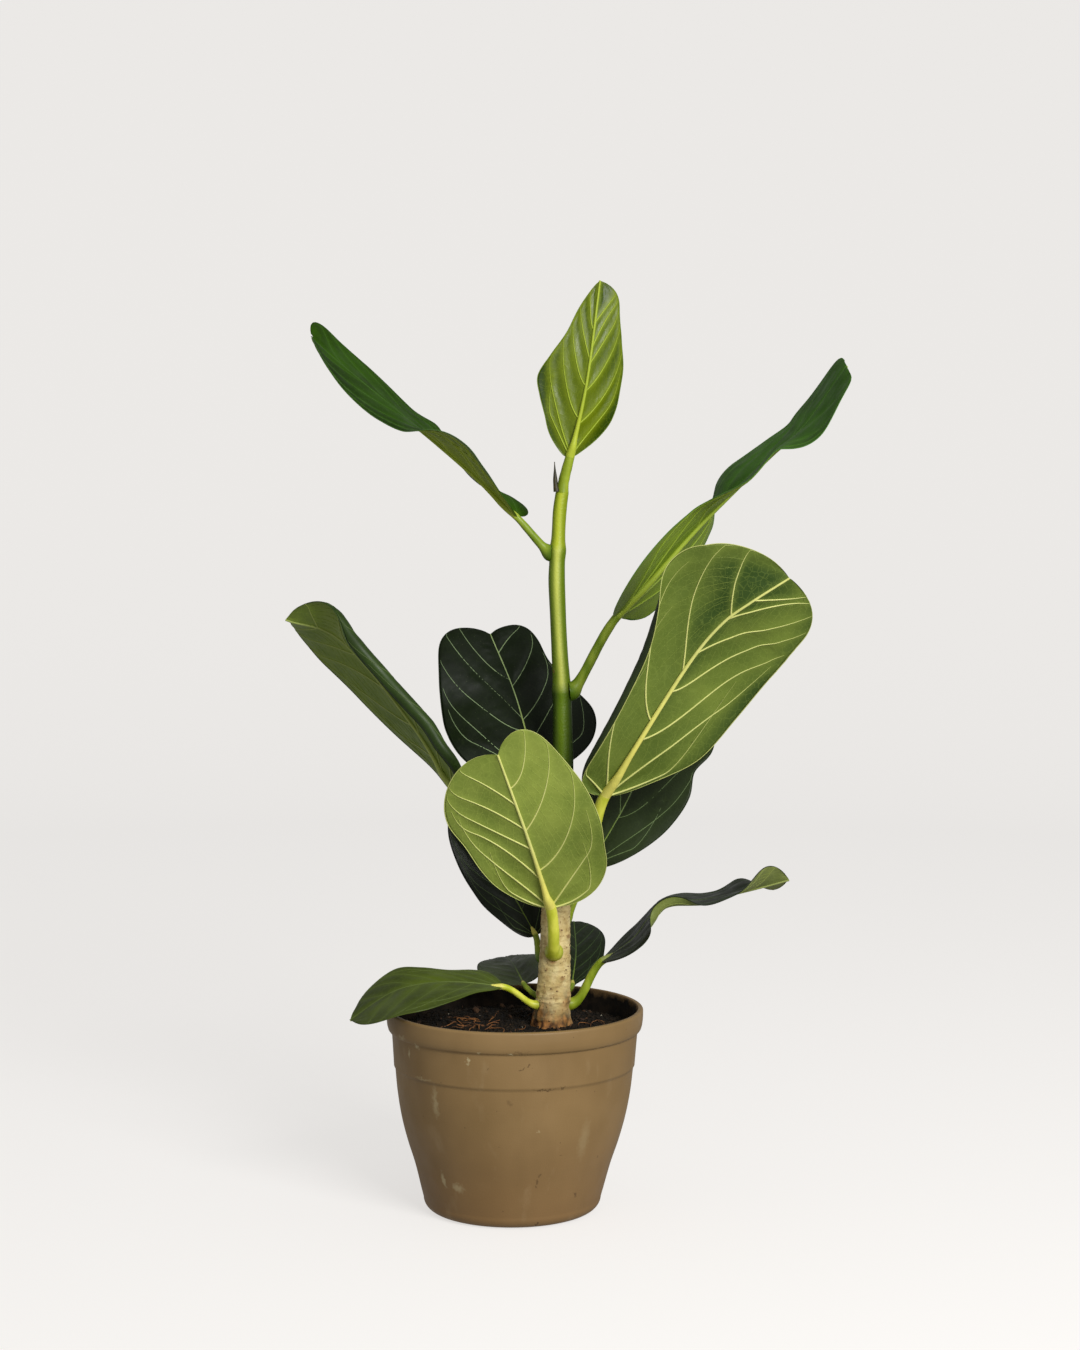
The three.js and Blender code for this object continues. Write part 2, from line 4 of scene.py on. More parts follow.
import bpy
import numpy as np
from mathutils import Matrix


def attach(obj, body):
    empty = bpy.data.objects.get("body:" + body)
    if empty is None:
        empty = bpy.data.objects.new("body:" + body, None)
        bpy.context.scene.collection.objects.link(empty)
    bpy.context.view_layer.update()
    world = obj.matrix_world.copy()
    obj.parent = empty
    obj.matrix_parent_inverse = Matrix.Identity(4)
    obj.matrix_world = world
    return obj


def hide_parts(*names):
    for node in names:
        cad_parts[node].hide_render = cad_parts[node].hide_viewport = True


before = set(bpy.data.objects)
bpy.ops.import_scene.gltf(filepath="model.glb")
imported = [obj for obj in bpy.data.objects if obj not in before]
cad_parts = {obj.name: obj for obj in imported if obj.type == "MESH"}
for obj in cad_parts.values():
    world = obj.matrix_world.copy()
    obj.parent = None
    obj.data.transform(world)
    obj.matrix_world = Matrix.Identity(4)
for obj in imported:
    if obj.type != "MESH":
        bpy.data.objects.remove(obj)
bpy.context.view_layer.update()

# Sizes are in millimetres and metres are made where meshes are; +Z is up and the front looks to -Y.
MM = 0.001

# Pot
POT_HEIGHT = 137
POT_RIM_RADIUS = 86.9
POT_WALL = 1.8
POT_FLOOR = 3
POT_SIDES = 256
POT_MIDDLE = 0.5  # radius of the innermost ring of its floor
UNDERSIDE_RINGS = 12
BELLY_RINGS = 60
UPPER_WALL_RINGS = 20
INSIDE_FLOOR_RINGS = 8
RIM_ROUND = 1.6
RIM_FACE = [131.5, 134]  # the lip's outer face is upright between these heights
FOOT_RADIUS = 60.4
FOOT_ROUND = 8
DRAIN_HOLES = 6
DRAIN_RADIUS = 4.5
DRAIN_SIDES = 40
DRAIN_CIRCLE = 38
# Outside of the wall from the foot up to its fine step, as [height, radius]
POT_BELLY = [[8, 60.4], [14.7, 62.2], [31.4, 66.6], [48, 71.9], [64.5, 76.2], [81, 79.1], [98, 80.9]]
WALL_STEP = [98.6, 81.7]  # the wall stands out a little more above this height
WALL_TOP = [121.5, 83.3]
UNDER_LIP = [[83.5, 122], [84.8, 122.4], [85.7, 123.6], [86.4, 126], [86.8, 129.5]]  # lower edge of the lip
POT_UNROLLED = 78  # radius at which the wall's marks are laid out
POT_LEAN = -2  # the foot stands this far to the left of the rim
POT_SWAY = [9, 5, 0.22, 11]  # how uneven the wall is: lumps round it, lumps up it, height, seed
SWAY_FROM = 40
MARK_RAGGED = 8
# Marks on the wall: degrees round from the front, height, half width, half height, strength
PALE_MARKS = [
    [-40, 86, 2.6, 11, 0.35], [-50, 121, 1.6, 2.4, 0.7], [-57, 114, 1, 4, 0.6], [-21, 117, 1.2, 2.6, 0.7],
    [-16, 123, 1, 0.9, 0.8], [-1, 122.8, 1.9, 1, 1], [-44, 31, 2.4, 6, 0.5], [-34, 27, 6, 3, 0.4],
    [-47, 100, 9, 1, 0.3], [-60, 125, 4, 1.5, 0.4], [12, 70, 1, 0.8, 0.3], [38, 60, 5, 14, 0.15],
]
DARK_MARKS = [
    [7, 114, 1.3, 0.7, 0.7], [3.6, 112, 1.5, 0.6, 0.6], [14, 98, 7, 0.7, 0.7], [23, 98.6, 2, 0.5, 0.6],
    [14, 39, 1.6, 1.6, 0.5], [13, 34, 1.8, 2.4, 0.6], [12.5, 30, 1.4, 1.2, 0.5], [-2, 89, 2.2, 1.8, 0.3],
    [40, 21, 1.8, 1.8, 0.6], [15, 3.4, 1.6, 1.4, 0.8], [25, 52, 0.9, 0.9, 0.4], [-12, 112, 1.2, 0.5, 0.4],
    [52, 44, 1, 1, 0.5], [-8, 60, 0.8, 0.8, 0.4], [2, 123.5, 9, 0.5, 0.4],
]

# Soil
SOIL_LEVEL = 124
SOIL_EDGE_DROP = 2.5
SOIL_FLAT_RADIUS = 52
SOIL_GAP = 0.3
SOIL_SIDES = 180
SOIL_RINGS = 90
SOIL_MIDDLE = 0.6  # radius of its innermost ring
SOIL_FLOOR_RINGS = 12
SOIL_SIDE_STOPS = 1.5  # its side stops this far under the edge of its top
SOIL_SPAN = 400  # the soil's lumps are laid out over this width
SOIL_LUMPS = [[26, 26, 1.2, 21], [70, 70, 0.8, 22], [170, 170, 0.4, 23]]
SOIL_CALM_FROM = 70  # the soil is flatter beside the wall, from this radius outwards
SOIL_CALM_REACH = 8
SOIL_CALM = 0.6  # share of its roughness that it loses there
MOUND_REACH = 18
TRUNK_CLEAR = 12  # the soil is smooth around the trunk, up to this far from its middle
TRUNK_CLEAR_REACH = 10
# Loose matter on the soil: how many per square metre, smallest, largest, how long, how flat, seed
SOIL_BITS = {
    "soil_crumbs": [320000.0, 0.3, 1.7, 1.2, 0.75, 41],
    "soil_bark_bits": [6000.0, 0.7, 3.4, 2.1, 0.4, 42],
    "soil_grains": [1600.0, 0.3, 0.9, 1.0, 0.9, 43],
}
# Heaps of shreds: how many, seed, middle, spread, length, radius
SOIL_SHREDS = [[20, 44, (0, 0), 36, 20, 0.35], [16, 45, (-26, 8), 8, 17, 0.5]]
SHRED_POINTS = 10
SHRED_SIDES = 6
SHRED_BEND = 0.25
SHRED_STAND = 0.6
SHRED_ARCH = 1.6
SHRED_LIMIT = 74  # no shred reaches past this radius

# Trunk and stem: height, lean to the right, lean to the back, radius
TRUNK = [
    [124.3, 24.4, 0, 13.6], [131, 24.9, 0, 12.7], [142, 26, 0, 11.7], [176, 27.2, 0.5, 10.3],
    [204, 27.8, 1, 9.7], [250, 30, 2, 8.5], [298, 32.3, 3, 7.2], [350, 31.8, 4, 6.2],
    [377, 30.3, 4, 5.6], [401, 29.2, 3.5, 5.4], [430, 28.3, 3, 5.5], [457, 29.3, 3, 4.6],
    [473, 30.2, 3, 4.6], [485, 31.8, 3, 4.4],
]
TRUNK_FOOT = TRUNK[0][0]
TRUNK_TOP = TRUNK[-1][0]
TRUNK_RINGS = 620
TRUNK_SIDES = 72
TRUNK_STEPS = 800
LOW_RINGS_DENSER = 1.15
FLARE = 1.4
FLARE_HEIGHT = 10
FLARE_LOBES = 3
# Relief of bark and of green stem: lumps round it, lumps up it, height, seed
BARK_LUMPS = [[7, 40, 0.34, 31], [16, 110, 0.2, 32], [34, 240, 0.16, 33], [36, 560, 0.08, 34]]
STEM_LUMPS = [[7, 24, 0.16, 35]]
FOOT_LUMPS = [[20, 90, 0.9, 37]]
FOOT_LUMPS_HEIGHT = 16
FOOT_DARK_HEIGHT = 20
FOOT_DARK_FROM = 1.2  # over 1, so that the very bottom is dark all round
FOOT_DARK = 0.95
FOOT_BORDER = [9, 60, 0.5, 36]  # lumps round it, lumps up it, height, seed
# The foot is darker up to this height on the side away from the light: painted shade.
PAINTED_SIDE_SHADE_HEIGHT = 34
STEM_NODES = [351, 446]
BARK_RINGS = [130, 153, 179, 187, 222, 254, 291]  # besides those at the leaves
STEM_RINGS = [365]
RING_ABOVE_LEAF = 3
BARK_RING_HALF = 0.8
STEM_RING_HALF = 1.1
STEM_RING_SHARE = 0.5
RING_STAND = 0.22
RING_LOWER_ON_STEM = 0.6
RING_SHOWS = 0.55
RING_BREAKS = [24, 9, 0.45, 39]  # where it fades: lumps round it, lumps up it, height, seed
NODE_SWELL = 0.8
NODE_REACH = 5
BARK_ENDS = 232  # the bark turns into green stem about this height
BARK_FADE = 26
# Where old leaves fell: height, bearing, half height, half width, how far it stands out
LEAF_SCARS = [
    [170, 262, 3.2, 4.4, 0.8], [158, 300, 2.6, 3.6, 0.6], [147, 205, 3, 4, 0.6], [186, 330, 2.8, 3.8, 0.6],
    [163, 40, 3, 4, 0.7], [197, 110, 2.6, 3.6, 0.5], [134, 232, 6, 3.2, 1.6], [365, 214, 1.8, 1.8, 0.2],
]
# Where a scar's rim, hollow and colour end, as shares of its half size
SCAR_RIM = 0.95
SCAR_HOLLOW = 0.5
SCAR_COLOURED = 0.62
SCAR_DEPTH = 0.45  # the hollow's depth, as a share of how far the scar stands out
SCAR_TONE = 0.7
# Painted light: a paler band runs up the stem on its front, and the stem is darker to each side of it as
# painted shade.
LIGHT_BAND_BEARING = 4.66  # radians: the paler streak up the stem faces almost straight to the front
LIGHT_BAND_WIDTH = 0.62
LIGHT_BAND_CHANGES = [[340, 20, -0.22], [440, 10, 0.12]]  # from a height, over how much, by how much
LIGHT_BAND_WANDER = [3, 9, 0.12, 38]
LENTICEL_PATCH = [127, 226]
LENTICEL_STAND = 0.15
LENTICELS = [24000.0, 0.25, 0.75, 1.3, 0.4, 51]  # read as the loose matter on the soil is
PATCH_RINGS = 60
PATCH_SIDES = 36

# Leaf blades: left and right are as seen on the upper face with the tip up
BLADE_ROWS = 120
BLADE_COLUMNS = 65
BLADE_HALF_THICK = 0.32
BLADE_BASE_HALF = 2.2
BLADE_TIP_HALF = 0.6
BLADE_END = 1e-4
BLADE_LUMPS = [[5, 9, 0.35, 0], [24, 40, 0.12, 1]]
SHADE_LUMPS = [[4, 5, 0.2, 3]]
TANGENT_STEP = 0.001
NORMAL_STEP = 0.012
END_SPREAD = 6
NOTCH_POWER = 0.7
RIGHT_WAVE_SHIFT = 2.1
ROLL_FROM = 0.75  # share of the half width where an edge starts to roll under, or up where roll is negative
LEAST_ROLL = 0.001
PUFF_REACH = 3.2  # the blade is at its full puff this far from a vein
PUFF_FADE = 6  # the higher, the nearer to the edge the puff runs on
THIN_SIDE = 8  # the higher, the nearer to its sides and ends a blade keeps its thickness
THIN_END = 30
NEAR_VEIN = 2.4
VEIN_LIGHTENS = 0.35
SHADE_USUAL = 0.2
MIDRIB_POINTS = 90
MIDRIB_TIP = 0.7
MIDRIB_TAPER = 0.2
MIDRIB_SWELLS = [[0.25, 0.3], [0.55, 0.09]]  # share of the petiole's thickness, reach along the blade
MIDRIB_JOINS = 0.1  # it moves from the blade's middle to its underside over this share
MIDRIB_STAND = 0.3  # how far the midrib stands out of the upper face
UPPER_MIDRIB = [0.45, 0.95]  # most that its radius can be there, at the tip and at the base
UNDER_MIDRIB_SIDES = 16
UPPER_MIDRIB_SIDES = 8
VEIN_POINTS = 34
VEIN_SIDES = 6
VEIN_RADIUS = 0.8
VEIN_END_RADIUS = 0.16
VEIN_TAPER = 0.8
VEIN_LOWEST = 1.1  # share of the usual thickness that a side vein beside the base has
VEIN_FINER = 0.35  # one beside the tip has less than that by this share
VEIN_SMALL_BLADE = 0.6  # share of their thickness that veins keep however small the blade
VEIN_TONE = 0.55
VEIN_TONE_FADE = 0.4
VEIN_S_LIMIT = 0.995
VEIN_T_LIMIT = 0.97
VEIN_REACH = 0.9
VEIN_ARCH = 0.3
ARCH_FROM = 0.8
ARCH_END = 1.2
UNDER_STAND = 0.55  # share of a vein's radius that stands out of the underside
UPPER_VEIN_RADIUS = 0.5
UPPER_STAND = 0.14
RUNG_POINTS = 6
RUNG_PLACES = [0.24, 0.95, 0.1]  # first, end and step along the lower of two side veins
RUNG_SLANT = 0.1  # each ends this much nearer to the midrib
RUNG_NEAREST = 0.08
RUNG_SLIPS = [0.03, 0.04]  # how far its ends may stray along their veins
RUNG_BOW = 0.02
RUNG_SEED = 7
RUNG_RADIUS = 0.1
RUNG_TONE = 0.05
EDGE_POINTS = 110
EDGE_ENDS = 0.004
EDGE_RADIUS = 0.32
EDGE_TIP = 0.3  # share of its radius that is left at its ends
EDGE_GROWS = 8  # how soon it has its whole radius again
FULL_WIDTH = 105  # veins are at their full thickness on a blade of this width
UNDER_DULLER = 0.06  # how much rougher the underside is
LEAF_SEEDS = [100, 10]  # the first leaf's seed, and the step to the next leaf's
NO_VALLEY = [[1e6, 1e6, 1e6]]  # far from every blade

# Sizes of the blades. leaves: height and bearing at which the petiole leaves the stem. midrib: places along
# it. face: ways that the upper face looks from base to tip. full: share of the width, and fold, curl, roll:
# angles, all at even steps from base to tip for the left and the right side. wave: height, count, start.
# notch, ear: how far each side runs on past the tip and the base of the midrib. stalk: radius of the petiole
# at heel and neck. reach, lead: how straight the petiole leaves the stem and meets the blade.
LEAVES = {
    "top": {
        "midrib": [[37, 0, 509], [48, -3, 558], [57, 4, 626]],
        "face": [[-0.25, 1, 0], [-0.15, 1, 0]],
        "width": 60,
        "broadest": 0.45,
        "blunt": 0.93,
        "full": [
            [0.4, 0.74, 0.89, 0.91, 0.9, 0.92, 0.86, 0.91, 1.35],
            [0.39, 0.72, 0.84, 0.98, 1.09, 0.93, 0.71, 0.61, 0.45],
        ],
        "fold": [[22, 15, 8], [22, 15, 8]],
        "curl": [[10, 10], [-10, 5]],
        "wave": [1, 2, 0],
        "notch": [-1, -6],
        "ear": [1, 5],
        "stalk": [3.6, 3.2],
    },
    "upper_left": {
        "leaves": [445, 180],
        "midrib": [
            [2, -2, 468], [-23, -4, 493], [-52, -3, 518],
            [-78, 0, 539], [-117, 4, 571], [-135, 8, 587],
        ],
        "face": [
            [0.7, 0.42, 0.7], [0.7, 0.14, 0.7], [0.69, -0.04, 0.69],
            [0.67, -0.27, 0.68], [0.67, -0.31, 0.68],
        ],
        "width": 80,
        "broadest": 0.6,
        "blunt": 0.8,
        "full": [[0.79, 0.91, 1.05, 1.09, 1.07, 0.89, 0.67], [1.15, 1.12, 1.06, 1.05, 0.99, 0.98, 0.99]],
        "fold": [[-6, 0, 12, 19, 17, -1, -5, -4, -1, 5, 12], [74, 40, 12, 8, 8, 6, -4, -7, -4, 0, 8]],
        "curl": [[-20, -10, 23], [-18, 7, 15]],
        "notch": [2, 28],
        "ear": [-9, 23],
        "stalk": [2.8, 2.3],
        "reach": 0.12,
    },
    "upper_right": {
        "leaves": [352, 0],
        "midrib": [
            [69, 2, 402], [118, 5, 457], [143, 4, 482],
            [173, 2, 511], [194, -2, 530], [221, -6, 569],
        ],
        "face": [
            [-0.68, 0.41, 0.66], [-0.68, 0.38, 0.66], [-0.69, -0.28, 0.68],
            [-0.68, -0.32, 0.66], [-0.68, -0.13, 0.66],
        ],
        "width": 96,
        "blunt": 0.37,
        "full": [[1.08, 1.11, 1.15, 1.13, 1.07, 1.04, 1], [1.03, 0.72, 0.6, 0.86, 0.98, 1.05, 1.07]],
        "fold": [[-10, 2, 22, 2, -10, -3, 2], [-14, 8, 6, 13, 24, 3, -8]],
        "curl": [[0, -13, 6], [1, -2, 3]],
        "wave": [4, 2, 0],
        "notch": [7, -7],
        "ear": [-13, 5],
        "stalk": [3.4, 3],
        "reach": 0.12,
    },
    "left": {
        "leaves": [236, 170],
        "midrib": [[-43, 25, 284], [-69, 32, 325], [-118, 30, 384], [-156, 22, 399]],
        "face": [[0.72, 0.16, 0.65], [0.72, 0.39, 0.65]],
        "width": 92,
        "broadest": 0.52,
        "blunt": 0.5,
        "full": [[1.59, 1.4, 1.29, 1.22, 1.14, 0.95, 0.62], [1.11, 1.1, 1.07, 1.05, 1.02, 0.99, 0.95]],
        "fold": [[18, 9, 6, 0, -1, 17, 23], [-5, -4, -8, -13, -16, -8, 8]],
        "curl": [[6, 5, 5], [3, -1, 13]],
        "roll": [[180, 180, 180, 180, 150, 60, 0], [0, 0]],
        "wave": [1, 1.5, 0],
        "notch": [-2, -8],
        "ear": [0, 2],
        "stalk": [3.2, 2.8],
    },
    "back": {
        "leaves": [270, 100],
        "midrib": [[15, 25, 292], [0, 58, 344], [-18, 80, 386]],
        "face": [[0.1, -0.8, 0.5], [0.1, -0.8, 0.5]],
        "width": 102,
        "broadest": 0.46,
        "blunt": 0.76,
        "full": [[1.14, 1.14, 1.09, 1.04, 1.04, 1.09, 1.29], [0.98, 1.06, 1.02, 0.75, 0.64, 0.78, 1.02]],
        "curl": [[-10, -10], [-10, -10]],
        "wave": [3, 1.5, 0],
        "notch": [33, 11],
        "ear": [0, -4],
        "stalk": [3.5, 3],
    },
    "right_big": {
        "leaves": [214, -20],
        "midrib": [
            [60, -28, 284], [82, -46, 323], [114, -58, 375],
            [134, -66, 400], [152, -72, 414], [177, -74, 430],
        ],
        "face": [[-0.2, 0.9, 0.4], [-0.2, 0.9, 0.4]],
        "width": 106,
        "broadest": 0.55,
        "blunt": 0.9,
        "full": [[0.78, 1.14, 1.12, 1.06, 1.07, 1.16, 1.45], [1.23, 0.81, 0.77, 0.94, 1.1, 1.11, 0.88]],
        "roll": [[0, 0], [90, 170, 180, 120, 0, 0, 0]],
        "notch": [12, -1],
        "ear": [-4, 14],
        "stalk": [4, 3.7],
    },
    "lower_right": {
        "leaves": [196, 48],
        "midrib": [[51, 14, 231], [74, 26, 269], [94, 40, 306], [121, 58, 338]],
        "face": [[-0.3, -0.8, 0.5], [-0.3, -0.8, 0.5]],
        "width": 80,
        "blunt": 0.83,
        "full": [[0.9, 0.9], [0.69, 0.83, 0.96, 1.04, 0.96, 1.17, 1.31]],
        "curl": [[-10, -10], [-10, -10]],
        "notch": [0, -1],
        "ear": [0, -2],
        "stalk": [3.3, 3],
        "reach": 0.1,
        "lead": 0.6,
    },
    "front": {
        "leaves": [176, -95],
        "midrib": [[24, -32, 210], [9, -62, 261], [-10, -84, 317]],
        "face": [[0, 0.8, 0.5], [0, 0.8, 0.5]],
        "width": 105,
        "blunt": 0.98,
        "full": [[1.18, 1.05, 0.93, 0.93, 0.93, 0.92, 1.05], [0.6, 0.7, 0.74, 0.81, 0.98, 1.06, 1.07]],
        "notch": [42, 11],
        "ear": [10, 0],
        "stalk": [4, 3.7],
    },
    "lower_left": {
        "leaves": [169, 150],
        "midrib": [[14, 16, 183], [-1, 28, 208], [-18, 42, 236], [-30, 56, 273]],
        "face": [[0.2, -0.7, 0.6], [0.2, -0.7, 0.6]],
        "width": 72,
        "blunt": 0.84,
        "full": [[0.53, 0.62, 0.69, 0.68, 0.75, 0.89, 1.02], [1, 1]],
        "notch": [-1, 0],
        "ear": [2, 0],
        "stalk": [2.4, 2.1],
    },
    "behind_right": {
        "leaves": [143, 62],
        "midrib": [[39, 19, 148], [42, 48, 166], [41, 80, 182]],
        "face": [[0, -0.4, 0.9], [0, -0.4, 0.9]],
        "width": 44,
        "broadest": 0.55,
        "blunt": 0.92,
        "full": [[0.8, 0.81, 0.82, 0.82, 0.83, 0.84, 0.85], [0.67, 0.77, 0.89, 0.9, 0.95, 0.98, 0.95]],
        "wave": [1, 1.5, 0],
        "notch": [0, -1],
        "ear": [0, -4],
        "stalk": [2.2, 1.9],
    },
    "low_left": {
        "leaves": [139, 200],
        "midrib": [[-8, -12, 153], [-34, -18, 157], [-60, -22, 157], [-83, -25, 151], [-110, -26, 133]],
        "face": [[-0.1, -0.35, 0.93], [-0.1, -0.35, 0.93]],
        "width": 66,
        "broadest": 0.58,
        "full": [[0.46, 0.62, 0.89, 1.04, 1.11, 1.07, 0.9], [1.12, 0.74, 0.53, 0.57, 0.7, 0.7, 0.74]],
        "wave": [1, 1.5, 0],
        "notch": [-7, -12],
        "ear": [-4, 0],
        "stalk": [2.2, 2.1],
    },
    "low_back_left": {
        "leaves": [142, 140],
        "midrib": [[6, 18, 149], [-1, 44, 157], [-7, 74, 158]],
        "face": [[-0.1, -0.3, 0.95], [-0.1, -0.3, 0.95]],
        "width": 46,
        "full": [[1.1, 1.1], [0.8, 0.8]],
        "wave": [1, 1.5, 0],
        "stalk": [1.9, 1.7],
    },
    "low_right": {
        "leaves": [139, 0],
        "midrib": [
            [59, -4, 169], [80, -8, 185], [99, -11, 209],
            [126, -13, 212], [157, -14, 219], [184, -14, 226],
        ],
        "face": [
            [-0.45, -0.06, 0.85], [-0.45, -0.07, 0.85], [-0.4, -0.08, 0.88],
            [-0.3, -0.04, 0.93], [-0.15, 0.55, 0.9],
        ],
        "width": 64,
        "broadest": 0.52,
        "full": [[0.96, 0.98, 1, 1.04, 1.12, 1.21, 1.22], [0.99, 0.98, 0.98, 0.98, 1.05, 1.18, 1.27]],
        "fold": [[-1, 2, -1, -5, -6, 12, 6], [-1, -1, -3, 5, 8, 14, 10]],
        "roll": [[0, 0], [0, 0, 0, 0, -160, -90, 0, 0, 0, 0, 0]],
        "curl": [[0, -5, 0], [-2, 4, 1]],
        "wave": [2, 2, 0],
        "notch": [-8, -5],
        "ear": [-1, -2],
        "stalk": [3, 2.6],
    },
}

# What each leaf looks like; colours are as they read in daylight. upper, under: its two faces. line, rib:
# side veins and midrib of the upper face. vein, under_rib: those of the underside. shine: roughness. gloss:
# how much the upper face reflects. halo: how much paler the underside is beside its veins. puff: how far the
# blade swells between them. edge: tone of the rim. shades: places of painted shade, as s, t, reach along s,
# reach across t, strength.
LEAF_LOOKS = {
    "top": {
        "upper": (96, 116, 20), "line": (150, 165, 60),
        "under": (98, 114, 8), "vein": (160, 178, 48), "under_rib": (184, 196, 60),
        "puff": 0.75, "shine": 0.26, "halo": 0.6,
        "shades": [[0.45, 1, 0.6, 0.3, 0.8], [0.45, -1, 0.6, 0.3, 0.8], [1.02, 0, 0.3, 0.9, 1]],
    },
    "upper_left": {
        "upper": (46, 78, 12), "line": (54, 88, 20), "rib": (56, 90, 24), "gloss": 0.02,
        "under": (140, 158, 44), "vein": (150, 168, 56), "under_rib": (166, 180, 58), "halo": 0.9,
        "shades": [[0.2, 1, 0.4, 0.3, 0.8], [0.2, -1, 0.4, 0.3, 0.8], [0.75, -0.9, 0.35, 0.5, 0.7]],
    },
    "upper_right": {
        "upper": (66, 108, 32), "line": (78, 118, 42), "rib": (84, 124, 50), "gloss": 0.03,
        "under": (118, 142, 34), "vein": (140, 162, 54), "under_rib": (160, 178, 56),
    },
    "left": {
        "upper": (44, 62, 22), "line": (90, 108, 56), "gloss": 0.22,
        "under": (118, 137, 46), "vein": (150, 162, 84), "under_rib": (176, 188, 92),
    },
    "back": {
        "upper": (15, 25, 5), "line": (150, 172, 124), "rib": (206, 224, 110), "gloss": 0.2,
        "under": (110, 124, 46),
    },
    "right_big": {
        "upper": (40, 52, 24), "line": (120, 138, 90), "under": (108, 125, 45), "edge": 0.3,
        "shades": [
            [0.62, 0.16, 0.16, 0.16, 0.75], [0.84, 0.3, 0.13, 0.45, 0.9], [0.5, -0.06, 0.3, 0.05, 0.4],
            [0.5, -0.95, 0.5, 0.12, 0.6], [0.95, -0.2, 0.08, 0.6, 0.4],
        ],
    },
    "lower_right": {"upper": (38, 48, 25), "line": (112, 132, 84), "gloss": 0.25, "under": (110, 120, 50)},
    "front": {"upper": (50, 64, 26), "line": (120, 138, 90), "under": (141, 156, 64), "edge": 0.3},
    "lower_left": {"upper": (20, 28, 12), "line": (84, 104, 60), "under": (100, 112, 44)},
    "behind_right": {"upper": (22, 32, 10), "line": (62, 82, 44), "under": (100, 112, 46)},
    "low_left": {
        "upper": (70, 83, 24), "line": (86, 100, 44), "rib": (108, 124, 60), "gloss": 0.25, "puff": 0.3,
        "under": (110, 122, 50),
    },
    "low_back_left": {"upper": (56, 64, 40), "line": (66, 80, 52), "under": (110, 118, 50)},
    "low_right": {
        "upper": (24, 33, 10), "line": (58, 72, 44), "gloss": 0.18,
        "under": (126, 136, 66), "vein": (140, 150, 80), "under_rib": (146, 156, 86),
    },
}
EDGE_UNDER_FROM = 0.1  # a rim with a tone over this has the colours of the underside
# Side veins of the left and the right side: where each leaves the midrib, where it nears the edge, its bow
LEAF_VEINS = {
    "top": [
        [[0, 0.45, 0], [0.23, 0.63, -0.4], [0.45, 0.76, -0.4], [0.6, 0.84, 0], [0.68, 0.91, 0.4],
         [0.8, 0.95, 0]],
        [[0, 0.3, 0], [0.02, 0.56, -0.3], [0.27, 0.68, -0.7], [0.48, 0.77, -0.7], [0.62, 0.86, -0.3],
         [0.77, 0.95, -1]],
    ],
    "left": [
        [[0, 0.2, 0], [0.1, 0.38, 0], [0.3, 0.52, 0], [0.5, 0.68, 0], [0.64, 0.79, 0], [0.8, 0.93, 0]],
        [[0, 0.16, 0], [0.14, 0.35, 0], [0.34, 0.57, -0.7], [0.47, 0.69, 0], [0.6, 0.89, -0.7],
         [0.8, 0.96, 0]],
    ],
    "back": [
        [[0, 0.3, 0], [0.03, 0.53, -0.7], [0.27, 0.75, -0.9], [0.35, 0.93, -0.3], [0.62, 0.98, -0.6]],
        [[0, 0.22, 0], [0.18, 0.5, 0], [0.34, 0.6, -0.4], [0.57, 0.82, -0.3], [0.84, 0.94, 0.7]],
    ],
    "right_big": [
        [[0, 0.16, -0.4], [0, 0.39, 0.3], [0.2, 0.62, -0.7], [0.32, 0.87, -0.9], [0.43, 0.95, -0.4],
         [0.63, 0.98, 0.8], [0.82, 0.99, 0]],
        [[0, 0.07, 0], [0.01, 0.33, 0], [0.25, 0.57, -0.7], [0.37, 0.82, -0.3], [0.67, 0.91, 0]],
    ],
    "lower_right": [
        [[0, 0.15, 0], [0.06, 0.4, 0], [0.3, 0.74, 0], [0.52, 0.86, 0], [0.74, 0.95, 0]],
        [[0, 0.2, 0], [0, 0.5, 0], [0.28, 0.8, -0.8], [0.46, 0.9, -0.5], [0.68, 0.95, 0]],
    ],
    "front": [
        [[0, 0.12, -0.9], [0, 0.38, 0], [0.27, 0.68, -0.7], [0.54, 0.84, -0.3], [0.8, 0.95, -0.9]],
        [[0, 0.21, -0.7], [0, 0.55, 0], [0.2, 0.62, 0.7], [0.42, 0.74, 0], [0.55, 0.82, 0.4],
         [0.7, 0.92, 0.4]],
    ],
}
USUAL_VEINS = [
    [[0, 0.14, 0], [0, 0.4, 0], [0.18, 0.58, -0.3], [0.35, 0.72, -0.3], [0.53, 0.84, -0.3], [0.71, 0.93, 0]],
    [[0, 0.16, 0], [0.02, 0.42, 0], [0.22, 0.6, -0.3], [0.4, 0.75, -0.3], [0.58, 0.87, -0.3],
     [0.77, 0.95, 0]],
]
LEAF_DEFAULTS = {
    "broadest": 0.5, "blunt": 0.85, "fold": [[6, 6], [6, 6]], "curl": [[-5, -5], [-5, -5]],
    "roll": [[0, 0], [0, 0]], "wave": [2, 1.5, 0], "notch": [0, 0], "ear": [0, 0],
    "reach": 0.3, "lead": 0.35, "puff": 0.5, "shine": 0.42, "gloss": 0.3, "halo": 0.12, "edge": 0.02,
    "vein": (216, 218, 134), "under_rib": (238, 228, 112), "rib": (118, 140, 56), "shades": [],
}

# Petioles
PETIOLE_RINGS = 48
PETIOLE_SIDES = 20
PETIOLE_HEEL = 1.2
PETIOLE_SUNK = 1.5  # how far its heel is set into the bark
PETIOLE_COLLAR = 0.3
STEM_COLLAR = 0.85  # petioles of the green stem flare more where they join it
COLLAR_REACH = 4.5
PETIOLE_OVERLAP = 0.8  # how far it runs on into the blade
PETIOLE_LUMPS = [[3, 12, 0.03, 0]]
STEM_FROM = 300
GREEN_STALKS = [
    "upper_left", "upper_right", "left", "back", "lower_left", "low_back_left", "behind_right",
]
YELLOW_STALKS = ["front", "right_big", "low_left"]

